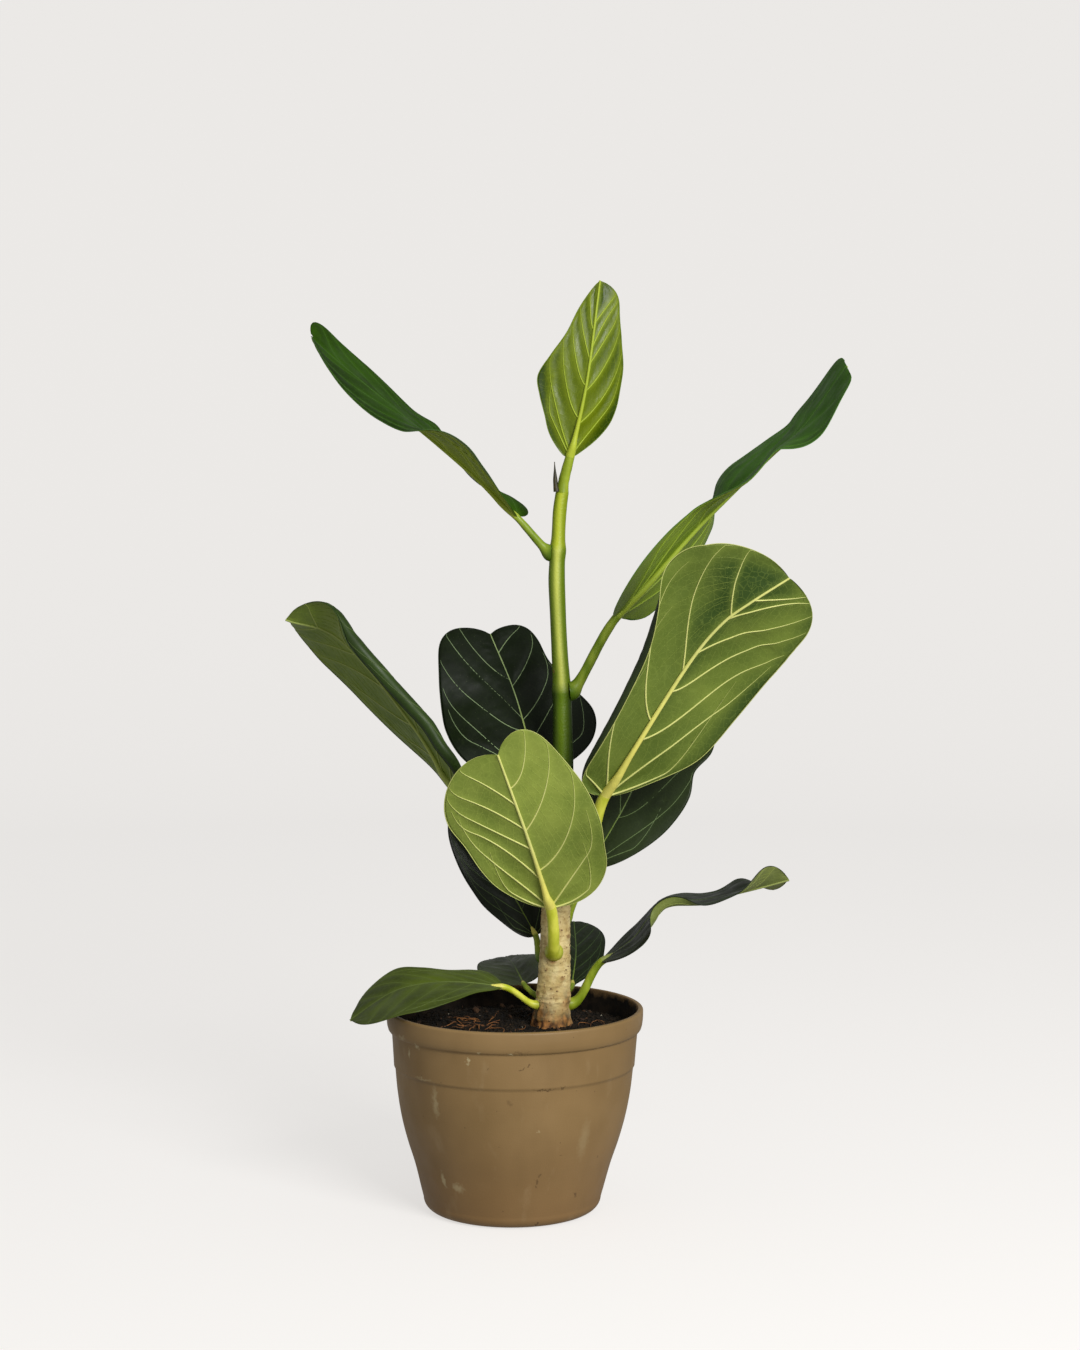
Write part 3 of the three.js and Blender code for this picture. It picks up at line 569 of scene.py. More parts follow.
SHEATH_PLACES = [[28, -1.2, 485.6], [27.3, -1, 492], [26.7, -0.5, 505.5]]
SHEATH_RADII = [2, 1.6, 0.3]
SHEATH_POINTS = 24
SHEATH_SIDES = 12

# The photograph's camera, in metres and degrees
CAMERA_PLACE = (0.017, -1.7, 0.477)
CAMERA_PITCH = 86.15
CAMERA_LENS = 67.55
CAMERA_SENSOR = 36
CAMERA_FAR = 50

# Studio
SWEEP_FLOOR = [[1, 0], [300, 0], [1200, 0]]  # rings of the floor, as [radius, height]
SWEEP_ROUND_RINGS = 24
SWEEP_RADIUS = 3000
SWEEP_ROUND = 900
SWEEP_TOP = 2600
SWEEP_SIDES = 96
SWEEP_BELOW = 0.3
SWEEP_COLOUR = (160, 158, 155)
SWEEP_GLOW = (212, 210, 208)
SKY_STRENGTH = 0.34
KEY_PLACE = (0.95, -1.7, 1.15)
KEY_AIM = (0, 0, 0.34)
KEY_WATTS = 42
KEY_SIZE = 1.0


def unit(vectors):
    """Vectors of length 1."""
    return vectors / np.linalg.norm(vectors, axis=-1, keepdims=True)


def eased(w):
    """Share from 0 to 1 that starts and ends softly."""
    w = np.clip(w, 0, 1)
    return w * w * (3 - 2 * w)


def between(values, s, ease=False):
    """Values that stand at even steps, read at the places s from 0 to 1."""
    values = np.asarray(values, float)
    step = s * (len(values) - 1)
    first = np.clip(np.floor(step).astype(int), 0, len(values) - 2)
    w = step - first
    if ease:
        w = eased(w)
    if values.ndim > 1:
        w = w[..., None]
    return values[first] * (1 - w) + values[first + 1] * w


def smooth_path(places, s):
    """Smooth curve through the places, read at s from 0 to 1 with even steps from place to place."""
    points = np.asarray(places, float)
    points = np.vstack([2 * points[0] - points[1], points, 2 * points[-1] - points[-2]])
    spans = len(points) - 3
    first = np.clip(np.floor(s * spans).astype(int), 0, spans - 1)
    w = (s * spans - first)[..., None]
    a, b, c, d = (points[first + k] for k in range(4))
    return 0.5 * (2 * b + (c - a) * w + (2 * a - 5 * b + 4 * c - d) * w**2 + (3 * b - a - 3 * c + d) * w**3)


def evenly(values, s):
    """Smooth run of numbers that stand at even steps, read at the places s from 0 to 1."""
    return smooth_path(np.asarray(values, float)[:, None], s)[..., 0]


def lumps(u, v, cells_u, cells_v, seed):
    """Smooth seeded heights from -1 to 1. They repeat round u; u and v go from 0 to 1."""
    grid = np.random.default_rng(seed).uniform(-1, 1, (cells_v + 2, cells_u))
    x = (u % 1) * cells_u
    y = np.clip(v, 0, 1) * cells_v
    column = np.floor(x).astype(int)
    row = np.floor(y).astype(int)
    wx = eased(x - column)
    wy = eased(y - row)
    column = column % cells_u
    beside = (column + 1) % cells_u
    low = grid[row, column] * (1 - wx) + grid[row, beside] * wx
    high = grid[row + 1, column] * (1 - wx) + grid[row + 1, beside] * wx
    return low * (1 - wy) + high * wy


def layered(u, v, layers, seed=0):
    """Several sizes of lumps on one another; a layer is lumps round u, lumps along v, height, seed."""
    return sum(height * lumps(u, v, across, along, seed + own) for across, along, height, own in layers)


# Meshes and pieces


def mesh_of(name, places, faces, looks, face_looks=None, values=None):
    """Smooth mesh from places in millimetres, with named values at its points for the materials."""
    mesh = bpy.data.meshes.new(name)
    mesh.from_pydata((np.asarray(places) * MM).tolist(), [], faces)
    for look in looks:
        mesh.materials.append(look)
    mesh.polygons.foreach_set("use_smooth", [True] * len(mesh.polygons))
    if face_looks is not None:
        mesh.polygons.foreach_set("material_index", face_looks)
    for key, numbers in (values or {}).items():
        attribute = mesh.attributes.new(key, "FLOAT", "POINT")
        attribute.data.foreach_set("value", np.asarray(numbers, np.float32).ravel())
    mesh.update()
    return mesh


def object_of(mesh):
    """Object that shows a mesh, in the scene."""
    made = bpy.data.objects.new(mesh.name, mesh)
    bpy.context.scene.collection.objects.link(made)
    return made


def piece(mesh, name, slot, *nodes):
    """Plain object that rides on the plant's one body and stands for those CAD nodes."""
    mesh.name = name
    made = object_of(mesh)
    made.name = name
    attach(made, "root")
    if nodes:
        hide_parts(*nodes)
    return made


def grid_faces(index):
    """Four-sided faces over a grid of point numbers, turning from columns to rows."""
    corners = [index[:-1, :-1], index[:-1, 1:], index[1:, 1:], index[1:, :-1]]
    return np.stack(corners, -1).reshape(-1, 4).tolist()


def ring_solid(rings):
    """Places and faces of a closed solid whose rings stand in order, closed over the first and last ring."""
    count, sides = rings.shape[:2]
    index = np.arange(count * sides).reshape(count, sides)
    index = np.hstack([index, index[:, :1]])
    faces = grid_faces(index)
    first = count * sides
    places = np.vstack([rings.reshape(-1, 3), rings[0].mean(0), rings[-1].mean(0)])
    for i in range(sides):
        faces.append([first, index[0, i + 1], index[0, i]])
        faces.append([first + 1, index[-1, i], index[-1, i + 1]])
    return places, [[int(k) for k in face] for face in faces]


def turned(profile, sides):
    """Rings about Z from [radius, height] pairs."""
    turn = np.linspace(0, 2 * math.pi, sides, endpoint=False)
    radius = np.asarray(profile, float)[:, :1]
    height = np.asarray(profile, float)[:, 1:]
    return np.stack([radius * np.cos(turn), radius * np.sin(turn), height + 0 * turn], -1)


# Node trees that repeat or sweep a shape


def new_tree(name, inputs):
    """Empty Geometry Nodes tree with a geometry input and output, and named inputs of their socket kinds."""
    tree = bpy.data.node_groups.new(name, "GeometryNodeTree")
    tree.interface.new_socket("Geometry", in_out="INPUT", socket_type="NodeSocketGeometry")
    tree.interface.new_socket("Geometry", in_out="OUTPUT", socket_type="NodeSocketGeometry")
    for key, kind in inputs.items():
        tree.interface.new_socket(key, in_out="INPUT", socket_type=kind)
    return tree


def put(tree, kind, inputs=None, **settings):
    """New node. An input is a value, or an output of another node to be joined to it."""
    node = tree.nodes.new(kind)
    for key, value in settings.items():
        setattr(node, key, value)
    for key, value in (inputs or {}).items():
        if isinstance(value, bpy.types.NodeSocket):
            tree.links.new(value, node.inputs[key])
        else:
            node.inputs[key].default_value = value
    return node


def end_tree(tree, geometry, look):
    """Last nodes of a tree: smooth shading, real instances, material."""
    smooth = put(tree, "GeometryNodeSetShadeSmooth", {"Geometry": geometry})
    real = put(tree, "GeometryNodeRealizeInstances", {"Geometry": smooth.outputs[0]})
    dressed = put(tree, "GeometryNodeSetMaterial", {"Geometry": real.outputs[0], "Material": look})
    put(tree, "NodeGroupOutput", {"Geometry": dressed.outputs[0]})


def make_sweep_tree():
    """Round tubes along lines of edges, as thick as each point's own radius."""
    tree = new_tree("sweep along lines", {"Sides": "NodeSocketInt", "Look": "NodeSocketMaterial"})
    given = put(tree, "NodeGroupInput").outputs
    radius = put(tree, "GeometryNodeInputNamedAttribute", {"Name": "thickness"}, data_type="FLOAT")
    curve = put(tree, "GeometryNodeMeshToCurve", {"Mesh": given["Geometry"]})
    thick = put(tree, "GeometryNodeSetCurveRadius", {"Curve": curve.outputs[0], "Radius": radius.outputs[0]})
    ring = put(tree, "GeometryNodeCurvePrimitiveCircle", {"Resolution": given["Sides"], "Radius": 1.0})
    inputs = {"Curve": thick.outputs[0], "Profile Curve": ring.outputs[0], "Fill Caps": True}
    tube = put(tree, "GeometryNodeCurveToMesh", inputs)
    if "Scale" in tube.inputs:
        radius_again = put(tree, "GeometryNodeInputRadius")
        tree.links.new(radius_again.outputs[0], tube.inputs["Scale"])
    end_tree(tree, tube.outputs[0], given["Look"])
    return tree


def make_scatter_tree(name, tumbled):
    """Small lumps on a surface: tumbled any way, or lying flat on it."""
    sizes = ["Per square metre", "Smallest", "Largest", "Long", "Flat"]
    inputs = {key: "NodeSocketFloat" for key in sizes}
    inputs |= {"Seed": "NodeSocketInt", "Look": "NodeSocketMaterial"}
    tree = new_tree(name, inputs)
    given = put(tree, "NodeGroupInput").outputs
    spots = put(tree, "GeometryNodeDistributePointsOnFaces", {
        "Mesh": given["Geometry"], "Density": given["Per square metre"], "Seed": given["Seed"]})
    ball = put(tree, "GeometryNodeMeshIcoSphere", {"Radius": 1.0, "Subdivisions": 1})
    spread = put(tree, "ShaderNodeTexNoise", {"Scale": 1.1, "Detail": 1.0})
    either_way = {0: spread.outputs["Color"], 1: (0.5, 0.5, 0.5)}
    centred = put(tree, "ShaderNodeVectorMath", either_way, operation="SUBTRACT").outputs[0]
    dented = put(tree, "GeometryNodeSetPosition", {"Geometry": ball.outputs["Mesh"], "Offset": centred})
    chance = put(tree, "FunctionNodeRandomValue", {"Seed": given["Seed"]}, data_type="FLOAT")
    rare = put(tree, "ShaderNodeMath", {0: chance.outputs["Value"], 1: 2.5}, operation="POWER")
    size = put(tree, "ShaderNodeMapRange", {
        "Value": rare.outputs[0], "To Min": given["Smallest"], "To Max": given["Largest"]})
    long = put(tree, "ShaderNodeMath", {0: size.outputs[0], 1: given["Long"]}, operation="MULTIPLY")
    flat = put(tree, "ShaderNodeMath", {0: size.outputs[0], 1: given["Flat"]}, operation="MULTIPLY")
    scale = put(tree, "ShaderNodeCombineXYZ", {
        "X": long.outputs[0], "Y": size.outputs[0], "Z": flat.outputs[0]})
    if tumbled:
        turn = put(tree, "FunctionNodeRandomValue", {"Seed": given["Seed"]}, data_type="FLOAT_VECTOR")
        turn.inputs["Max"].default_value = (0.9, 0.9, 2 * math.pi)
        rotation = put(tree, "FunctionNodeEulerToRotation", {"Euler": turn.outputs["Value"]}).outputs[0]
    else:
        rotation = spots.outputs["Rotation"]
    lumps_there = put(tree, "GeometryNodeInstanceOnPoints", {
        "Points": spots.outputs["Points"], "Instance": dented.outputs[0],
        "Rotation": rotation, "Scale": scale.outputs[0]})
    end_tree(tree, lumps_there.outputs[0], given["Look"])
    return tree


sweep_tree = make_sweep_tree()
tumbled_tree = make_scatter_tree("tumbled lumps on a surface", True)
lying_tree = make_scatter_tree("flat lumps on a surface", False)


def run_tree(tree, source_mesh, inputs):
    """Plain mesh that a tree makes of a source mesh."""
    source = object_of(source_mesh)
    modifier = source.modifiers.new(tree.name, "NODES")
    modifier.node_group = tree
    for socket in tree.interface.items_tree:
        if socket.in_out == "INPUT" and socket.name in inputs:
            modifier[socket.identifier] = inputs[socket.name]
    bpy.context.view_layer.update()
    shown = source.evaluated_get(bpy.context.evaluated_depsgraph_get())
    made = bpy.data.meshes.new_from_object(shown)
    bpy.data.objects.remove(source)
    return made


def sweep(lines, sides, look):
    """Tubes along lines; each line is (places, radii, tones) in millimetres."""
    places = np.vstack([line[0] for line in lines]) * MM
    edges = []
    first = 0
    for line in lines:
        edges += [(first + k, first + k + 1) for k in range(len(line[0]) - 1)]
        first += len(line[0])
    mesh = bpy.data.meshes.new("lines")
    mesh.from_pydata(places.tolist(), edges, [])
    for key, part, unit_size in (("thickness", 1, MM), ("tone", 2, 1)):
        numbers = np.concatenate([np.broadcast_to(line[part], len(line[0])) for line in lines]) * unit_size
        mesh.attributes.new(key, "FLOAT", "POINT").data.foreach_set("value", numbers.astype(np.float32))
    return run_tree(sweep_tree, mesh, {"Sides": sides, "Look": look})


def scatter(tree, mesh, per_area, smallest, largest, long, flat, seed, look):
    """Lumps on a surface: how many per square metre, their sizes, and how long and flat they are."""
    inputs = {"Per square metre": per_area, "Smallest": smallest * MM, "Largest": largest * MM}
    return run_tree(tree, mesh, inputs | {"Long": long, "Flat": flat, "Seed": seed, "Look": look})


def joined(meshes, name):
    """One mesh out of several."""
    made = [object_of(mesh) for mesh in meshes]
    with bpy.context.temp_override(active_object=made[0], selected_editable_objects=made):
        bpy.ops.object.join()
    mesh = made[0].data
    bpy.data.objects.remove(made[0])
    mesh.name = name
    return mesh


# Materials


def paint(red, green, blue):
    """Base colour for a colour as it reads on a screen, 0 to 255."""
    shares = [value / 255 for value in (red, green, blue)]
    return tuple(c / 12.92 if c <= 0.04045 else ((c + 0.055) / 1.055) ** 2.4 for c in shares) + (1.0,)


def new_look(name, roughness):
    """New material, its nodes and its shader."""
    look = bpy.data.materials.new(name)
    look.use_nodes = True
    shader = look.node_tree.nodes["Principled BSDF"]
    shader.inputs["Roughness"].default_value = roughness
    return look, look.node_tree, shader


def own_place(tree, stretch=(1, 1, 1)):
    """Place on the piece itself, in metres, squeezed along an axis where stretch is over 1."""
    place = put(tree, "ShaderNodeTexCoord").outputs["Object"]
    if stretch == (1, 1, 1):
        return place
    return put(tree, "ShaderNodeMapping", {"Vector": place, "Scale": stretch}).outputs[0]


def noise(tree, place, scale, detail=2.0, low=0.35, high=0.65):
    """Soft blotches from 0 to 1."""
    spots = put(tree, "ShaderNodeTexNoise", {"Vector": place, "Scale": scale, "Detail": detail})
    return reading(tree, spots.outputs[0], low, high)


def net(tree, place, scale, width):
    """Thin net of lines that is 1 on a line and 0 off it."""
    cells = put(tree, "ShaderNodeTexVoronoi", {"Vector": place, "Scale": scale}, feature="DISTANCE_TO_EDGE")
    return reading(tree, cells.outputs["Distance"], width, 0.0)


def specks(tree, place, scale, size):
    """Small separate dots that are 1 inside and 0 outside."""
    cells = put(tree, "ShaderNodeTexVoronoi", {"Vector": place, "Scale": scale}, feature="F1")
    return reading(tree, cells.outputs["Distance"], size, size * 0.6)


def reading(tree, value, low, high, to_low=0.0, to_high=1.0):
    """Value read on another scale, and held to its ends."""
    inputs = {"Value": value, "From Min": low, "From Max": high, "To Min": to_low, "To Max": to_high}
    return put(tree, "ShaderNodeMapRange", inputs).outputs[0]


def times(tree, a, b):
    """Product of two values."""
    return put(tree, "ShaderNodeMath", {0: a, 1: b}, operation="MULTIPLY").outputs[0]


def value_of(tree, name):
    """Named value at the piece's own points."""
    return put(tree, "ShaderNodeAttribute", attribute_name=name).outputs["Fac"]


def mixed(tree, share, first, second):
    """First colour where share is 0, second where it is 1."""
    node = put(tree, "ShaderNodeMix", data_type="RGBA")
    for key, value in ((0, share), (6, first), (7, second)):
        if isinstance(value, bpy.types.NodeSocket):
            tree.links.new(value, node.inputs[key])
        else:
            node.inputs[key].default_value = value
    return node.outputs[2]


def over(tree, colour, share, strength, other):
    """Lays another colour over one where share is 1, at most by strength."""
    return mixed(tree, times(tree, share, strength), colour, other)


def skinned(tree, shader, colour, gloss):
    """Gives a shader its colour and how much it reflects."""
    tree.links.new(colour, shader.inputs["Base Color"])
    shader.inputs["Specular IOR Level"].default_value = gloss


def rough_between(tree, shader, share, low, high):
    """Roughness that runs from low to high with a share from 0 to 1."""
    tree.links.new(reading(tree, share, 0.0, 1.0, low, high), shader.inputs["Roughness"])


def bumped(tree, shader, height, distance, strength):
    """Adds fine relief of a height in millimetres to what the shader already has."""
    inputs = {"Height": height, "Distance": distance * MM, "Strength": strength}
    if shader.inputs["Normal"].is_linked:
        inputs["Normal"] = shader.inputs["Normal"].links[0].from_socket
    tree.links.new(put(tree, "ShaderNodeBump", inputs).outputs[0], shader.inputs["Normal"])


def marked(tree, colour, flat, marks, mark_colour):
    """Lays soft-edged marks over a colour; flat is the wall unrolled in metres."""
    for degrees, height, half_width, half_height, strength in marks:
        inputs = {"Vector": flat, "Location": (math.radians(degrees) * POT_UNROLLED * MM, height * MM, 0),
                  "Scale": (half_width * MM, half_height * MM, 1)}
        own = put(tree, "ShaderNodeMapping", inputs, vector_type="TEXTURE").outputs[0]
        away = put(tree, "ShaderNodeVectorMath", {0: own}, operation="LENGTH").outputs["Value"]
        colour = mixed(tree, reading(tree, away, 1.15, 0.35, 0.0, strength), colour, mark_colour)
    return colour


def unrolled_wall(tree, place):
    """Way round the pot from its front and height, with a little noise so that marks have ragged edges."""
    parts = put(tree, "ShaderNodeSeparateXYZ", {"Vector": place}).outputs
    toward = put(tree, "ShaderNodeMath", {0: parts["Y"], 1: -1.0}, operation="MULTIPLY").outputs[0]
    bearing = put(tree, "ShaderNodeMath", {0: parts["X"], 1: toward}, operation="ARCTAN2").outputs[0]
    along = put(tree, "ShaderNodeMath", {0: bearing, 1: POT_UNROLLED * MM}, operation="MULTIPLY").outputs[0]
    flat = put(tree, "ShaderNodeCombineXYZ", {"X": along, "Y": parts["Z"]}).outputs[0]
    ragged = put(tree, "ShaderNodeTexNoise", {"Vector": place, "Scale": 330.0, "Detail": 4.0})
    either_way = {0: ragged.outputs["Color"], 1: (0.5, 0.5, 0.5)}
    shift = put(tree, "ShaderNodeVectorMath", either_way, operation="SUBTRACT").outputs[0]
    shrunk = {0: shift, "Scale": MARK_RAGGED * MM}
    small = put(tree, "ShaderNodeVectorMath", shrunk, operation="SCALE").outputs[0]
    return put(tree, "ShaderNodeVectorMath", {0: flat, 1: small}, operation="ADD").outputs[0]


def plastic_look():
    """Outside of the pot: clouded brown with stains, scuffs and marks, browner towards the foot."""
    look, tree, shader = new_look("brown pot plastic", 0.5)
    place = own_place(tree)
    height = put(tree, "ShaderNodeSeparateXYZ", {"Vector": place}).outputs["Z"]
    cloud = noise(tree, place, 14.0, 3.0, 0.3, 0.7)
    colour = mixed(tree, cloud, paint(130, 103, 62), paint(148, 119, 76))
    colour = mixed(tree, reading(tree, height, 0.075, 0.0, 0.0, 0.55), colour, paint(124, 90, 52))
    stains = noise(tree, own_place(tree, (1, 1, 0.5)), 34.0, 4.0, 0.5, 0.7)
    colour = over(tree, colour, stains, 0.3, paint(118, 92, 54))
    scuffs = noise(tree, own_place(tree, (1, 1, 0.4)), 60.0, 5.0, 0.62, 0.74)
    colour = over(tree, colour, scuffs, 0.25, paint(170, 146, 108))
    colour = over(tree, colour, specks(tree, place, 95.0, 0.05), 0.6, paint(84, 62, 36))
    flat = unrolled_wall(tree, place)
    colour = marked(tree, colour, flat, PALE_MARKS, paint(196, 182, 140))
    colour = marked(tree, colour, flat, DARK_MARKS, paint(72, 50, 26))
    skinned(tree, shader, colour, 0.35)
    rough_between(tree, shader, noise(tree, place, 45.0, 4.0), 0.46, 0.62)
    bumped(tree, shader, noise(tree, place, 900.0, 2.0), 0.05, 0.35)
    bumped(tree, shader, noise(tree, own_place(tree, (0.12, 0.12, 1)), 420.0, 1.0), 0.04, 0.3)
    return look


def muddy_shaded_plastic_look():
    """Inside of the pot above the soil, filmed with mud and darkened near black with painted shade; it thins
    out towards the lip.
    """
    look, tree, shader = new_look("pot plastic with mud and painted shade", 0.8)
    place = own_place(tree)
    height = put(tree, "ShaderNodeSeparateXYZ", {"Vector": place}).outputs["Z"]
    clean = mixed(tree, noise(tree, place, 40.0, 3.0), paint(96, 74, 46), paint(120, 94, 60))
    # Near-black inside wall: partly mud, partly painted shade that falls inside the pot.
    mud_and_shade = mixed(tree, noise(tree, place, 150.0, 4.0), paint(16, 12, 8), paint(38, 29, 19))
    streaks = noise(tree, own_place(tree, (1, 1, 0.3)), 160.0, 4.0, 0.3, 0.7)
    washed = {0: streaks, 1: 0.004, 2: height}
    uneven = put(tree, "ShaderNodeMath", washed, operation="MULTIPLY_ADD").outputs[0]
    colour = mixed(tree, reading(tree, uneven, 0.135, 0.1385), mud_and_shade, clean)
    skinned(tree, shader, colour, 0.2)
    rough_between(tree, shader, streaks, 0.7, 0.95)
    bumped(tree, shader, noise(tree, place, 700.0, 3.0), 0.08, 0.5)
    return look


def soil_look(name, dark, light, scale):
    """Damp crumbly mix, mottled between two colours."""
    look, tree, shader = new_look(name, 0.95)
    place = own_place(tree)
    colour = mixed(tree, noise(tree, place, scale, 4.0), dark, light)
    skinned(tree, shader, colour, 0.25)
    rough_between(tree, shader, noise(tree, place, scale * 2, 2.0), 0.75, 1.0)
    bumped(tree, shader, noise(tree, place, scale * 3, 4.0), 0.3, 0.8)
    return look


def bark_skin(tree, place):
    """Tan bark with flecks along and round the trunk, dots on its rings and a dark crusted foot, which also
    carries painted shade on the side away from the light.
    """
    bark = mixed(tree, noise(tree, place, 130.0, 5.0), paint(196, 172, 112), paint(226, 206, 150))
    round_it = noise(tree, own_place(tree, (1, 1, 2.2)), 210.0, 4.0, 0.5, 0.68)
    bark = over(tree, bark, round_it, 0.55, paint(160, 130, 80))
    along_it = noise(tree, own_place(tree, (1, 1, 0.3)), 190.0, 4.0, 0.54, 0.7)
    bark = over(tree, bark, along_it, 0.4, paint(150, 116, 64))
    bark = over(tree, bark, specks(tree, own_place(tree, (1, 1, 0.6)), 300.0, 0.2), 0.6, paint(146, 110, 64))
    dots = specks(tree, own_place(tree, (1, 1, 0.4)), 560.0, 0.3)
    bark = over(tree, bark, value_of(tree, "ring"), dots, paint(120, 76, 34))
    crust = noise(tree, own_place(tree, (1, 1, 0.5)), 240.0, 5.0, 0.42, 0.6)
    foot = mixed(tree, crust, paint(66, 40, 18), paint(160, 108, 54))
    # The foot value is crust, and painted shade on the side away from the light.
    return mixed(tree, value_of(tree, "foot"), bark, foot)


def stem_skin(tree, height):
    """Green stem, deeper below each node, with a painted band of light up its front and painted shade to each
    side.
    """
    low_node = reading(tree, height, 0.35, 0.358)
    high_node = reading(tree, height, 0.446, 0.45)
    # dark is the stem's colour in painted shade at its sides, light its colour in the painted band of light.
    dark = mixed(tree, low_node, paint(40, 60, 4), paint(98, 122, 14))
    dark = mixed(tree, high_node, dark, paint(134, 150, 24))
    light = mixed(tree, low_node, paint(108, 136, 14), paint(206, 212, 94))
    light = mixed(tree, high_node, light, paint(186, 196, 52))
    ragged = noise(tree, own_place(tree, (1, 1, 0.12)), 300.0, 3.0, 0.3, 0.7)
    # The painted band of light, made ragged, lays the lit colour over the shaded one.
    painted_light_band = times(tree, value_of(tree, "painted_light_band"), reading(tree, ragged, 0.0, 1.0, 0.75, 1.0))
    green = mixed(tree, painted_light_band, dark, light)
    dots = specks(tree, own_place(tree, (1, 1, 0.5)), 330.0, 0.14)
    green = over(tree, green, dots, 0.25, paint(176, 178, 90))
    return over(tree, green, value_of(tree, "ring"), 0.35, paint(84, 74, 16))


def trunk_look():
    """Tan bark below, green stem above; green, scar, foot (crust and painted shade), ring and the stem's
    painted band of light are values at the points.
    """
    look, tree, shader = new_look("bark and green stem", 0.7)
    place = own_place(tree)
    height = put(tree, "ShaderNodeSeparateXYZ", {"Vector": place}).outputs["Z"]
    ragged = times(tree, noise(tree, own_place(tree, (1, 1, 0.4)), 120.0, 4.0), 0.5)
    both = put(tree, "ShaderNodeMath", {0: value_of(tree, "green"), 1: ragged}, operation="ADD").outputs[0]
    patchy = reading(tree, both, 0.45, 0.95)
    skin = mixed(tree, patchy, bark_skin(tree, place), stem_skin(tree, height))
    skin = mixed(tree, value_of(tree, "scar"), skin, paint(130, 90, 46))
    skinned(tree, shader, skin, 0.3)
    rough_between(tree, shader, patchy, 0.75, 0.42)
    bumped(tree, shader, noise(tree, own_place(tree, (1, 1, 1.4)), 620.0, 5.0), 0.16, 0.6)
    return look


def stalk_look(name, dark, light, heel):
    """Petiole, mottled between two greens, with its own colour at the heel, where tone is 1."""
    look, tree, shader = new_look(name, 0.4)
    place = own_place(tree)
    green = mixed(tree, noise(tree, own_place(tree, (1, 1, 0.3)), 150.0, 3.0), dark, light)
    green = over(tree, green, specks(tree, place, 420.0, 0.16), 0.25, paint(196, 192, 90))
    green = mixed(tree, value_of(tree, "tone"), green, heel)
    skinned(tree, shader, green, 0.3)
    rough_between(tree, shader, noise(tree, place, 200.0, 2.0), 0.34, 0.5)
    bumped(tree, shader, noise(tree, place, 700.0, 3.0), 0.06, 0.4)
    return look


def vein_look(name, skin, pale, rib):
    """Veins: where tone is 0 hardly paler than the skin around them, at 0.5 pale, and at 1 the midrib."""
    look, tree, shader = new_look(name, 0.45)
    tone = value_of(tree, "tone")
    faint = paint(*(1.06 * value + 4 for value in skin))
    colour = mixed(tree, reading(tree, tone, 0.0, 0.5), faint, paint(*pale))
    colour = mixed(tree, reading(tree, tone, 0.5, 1.0), colour, paint(*rib))
    colour = over(tree, colour, noise(tree, own_place(tree), 220.0, 2.0), 0.15, faint)
    skinned(tree, shader, colour, 0.25)
    bumped(tree, shader, noise(tree, own_place(tree), 900.0, 2.0), 0.04, 0.4)
    return look


def upper_look(name, colour, shine, gloss):
    """Upper leaf face: satin green, a little paler beside the veins, with a fine net and some dust."""
    look, tree, shader = new_look(name, shine)
    place = own_place(tree)
    red, green, blue = colour
    skin = mixed(tree, noise(tree, place, 34.0, 3.0), paint(red * 0.86, green * 0.86, blue * 0.86),
                 paint(red * 1.14, green * 1.14, blue * 1.1))
    # Painted shade darkens the face where the shade value is high.
    skin = mixed(tree, value_of(tree, "shade"), skin, paint(red * 0.55, green * 0.6, blue * 0.5))
    beside_veins = paint(red * 1.3 + 6, green * 1.3 + 8, blue * 1.1 + 3)
    skin = over(tree, skin, value_of(tree, "near_vein"), 0.2, beside_veins)
    net_lines = net(tree, place, 230.0, 0.05)
    skin = over(tree, skin, net_lines, 0.25, paint(red + 22, green + 26, blue + 12))
    skin = over(tree, skin, specks(tree, place, 380.0, 0.1), 0.2, paint(130, 136, 100))
    skinned(tree, shader, skin, gloss)
    rough_between(tree, shader, noise(tree, place, 80.0, 4.0), shine - 0.06, shine + 0.12)
    bumped(tree, shader, net_lines, 0.06, -0.3)
    bumped(tree, shader, noise(tree, place, 260.0, 2.0), 0.06, 0.35)
    return look


def under_look(name, colour, shine, halo):
    """Underside: paler and duller, with a net of raised veins and a fine pale speckle."""
    look, tree, shader = new_look(name, shine)
    place = own_place(tree)
    red, green, blue = colour
    skin = mixed(tree, noise(tree, place, 30.0, 4.0), paint(red * 0.9, green * 0.92, blue * 0.86),
                 paint(red * 1.08, green * 1.06, blue * 1.1))
    # Painted shade darkens the underside where the shade value is high.
    skin = mixed(tree, value_of(tree, "shade"), skin, paint(red * 0.46, green * 0.58, blue * 0.4))
    beside_veins = paint(red * 1.2 + 6, green * 1.18 + 6, blue * 1.2 + 6)
    skin = over(tree, skin, value_of(tree, "near_vein"), halo, beside_veins)
    net_lines = net(tree, place, 210.0, 0.06)
    skin = over(tree, skin, net_lines, 0.25, paint(red + 24, green + 24, blue + 18))
    pale_specks = paint(red + 40, green + 38, blue + 34)
    skin = over(tree, skin, specks(tree, place, 620.0, 0.2), 0.3, pale_specks)
    skinned(tree, shader, skin, 0.3)
    rough_between(tree, shader, noise(tree, place, 90.0, 3.0), shine, shine + 0.14)
    bumped(tree, shader, net_lines, 0.08, 0.35)
    bumped(tree, shader, noise(tree, place, 320.0, 2.0), 0.05, 0.4)
    return look


def plain_look(name, colour, other, scale, roughness):
    """Small matter such as lenticels and shreds, mottled between two colours."""
    look, tree, shader = new_look(name, roughness)
    place = own_place(tree)
    tree.links.new(mixed(tree, noise(tree, place, scale, 3.0), colour, other), shader.inputs["Base Color"])
    bumped(tree, shader, noise(tree, place, scale * 4, 3.0), 0.1, 0.6)
    return look


# Pot and soil


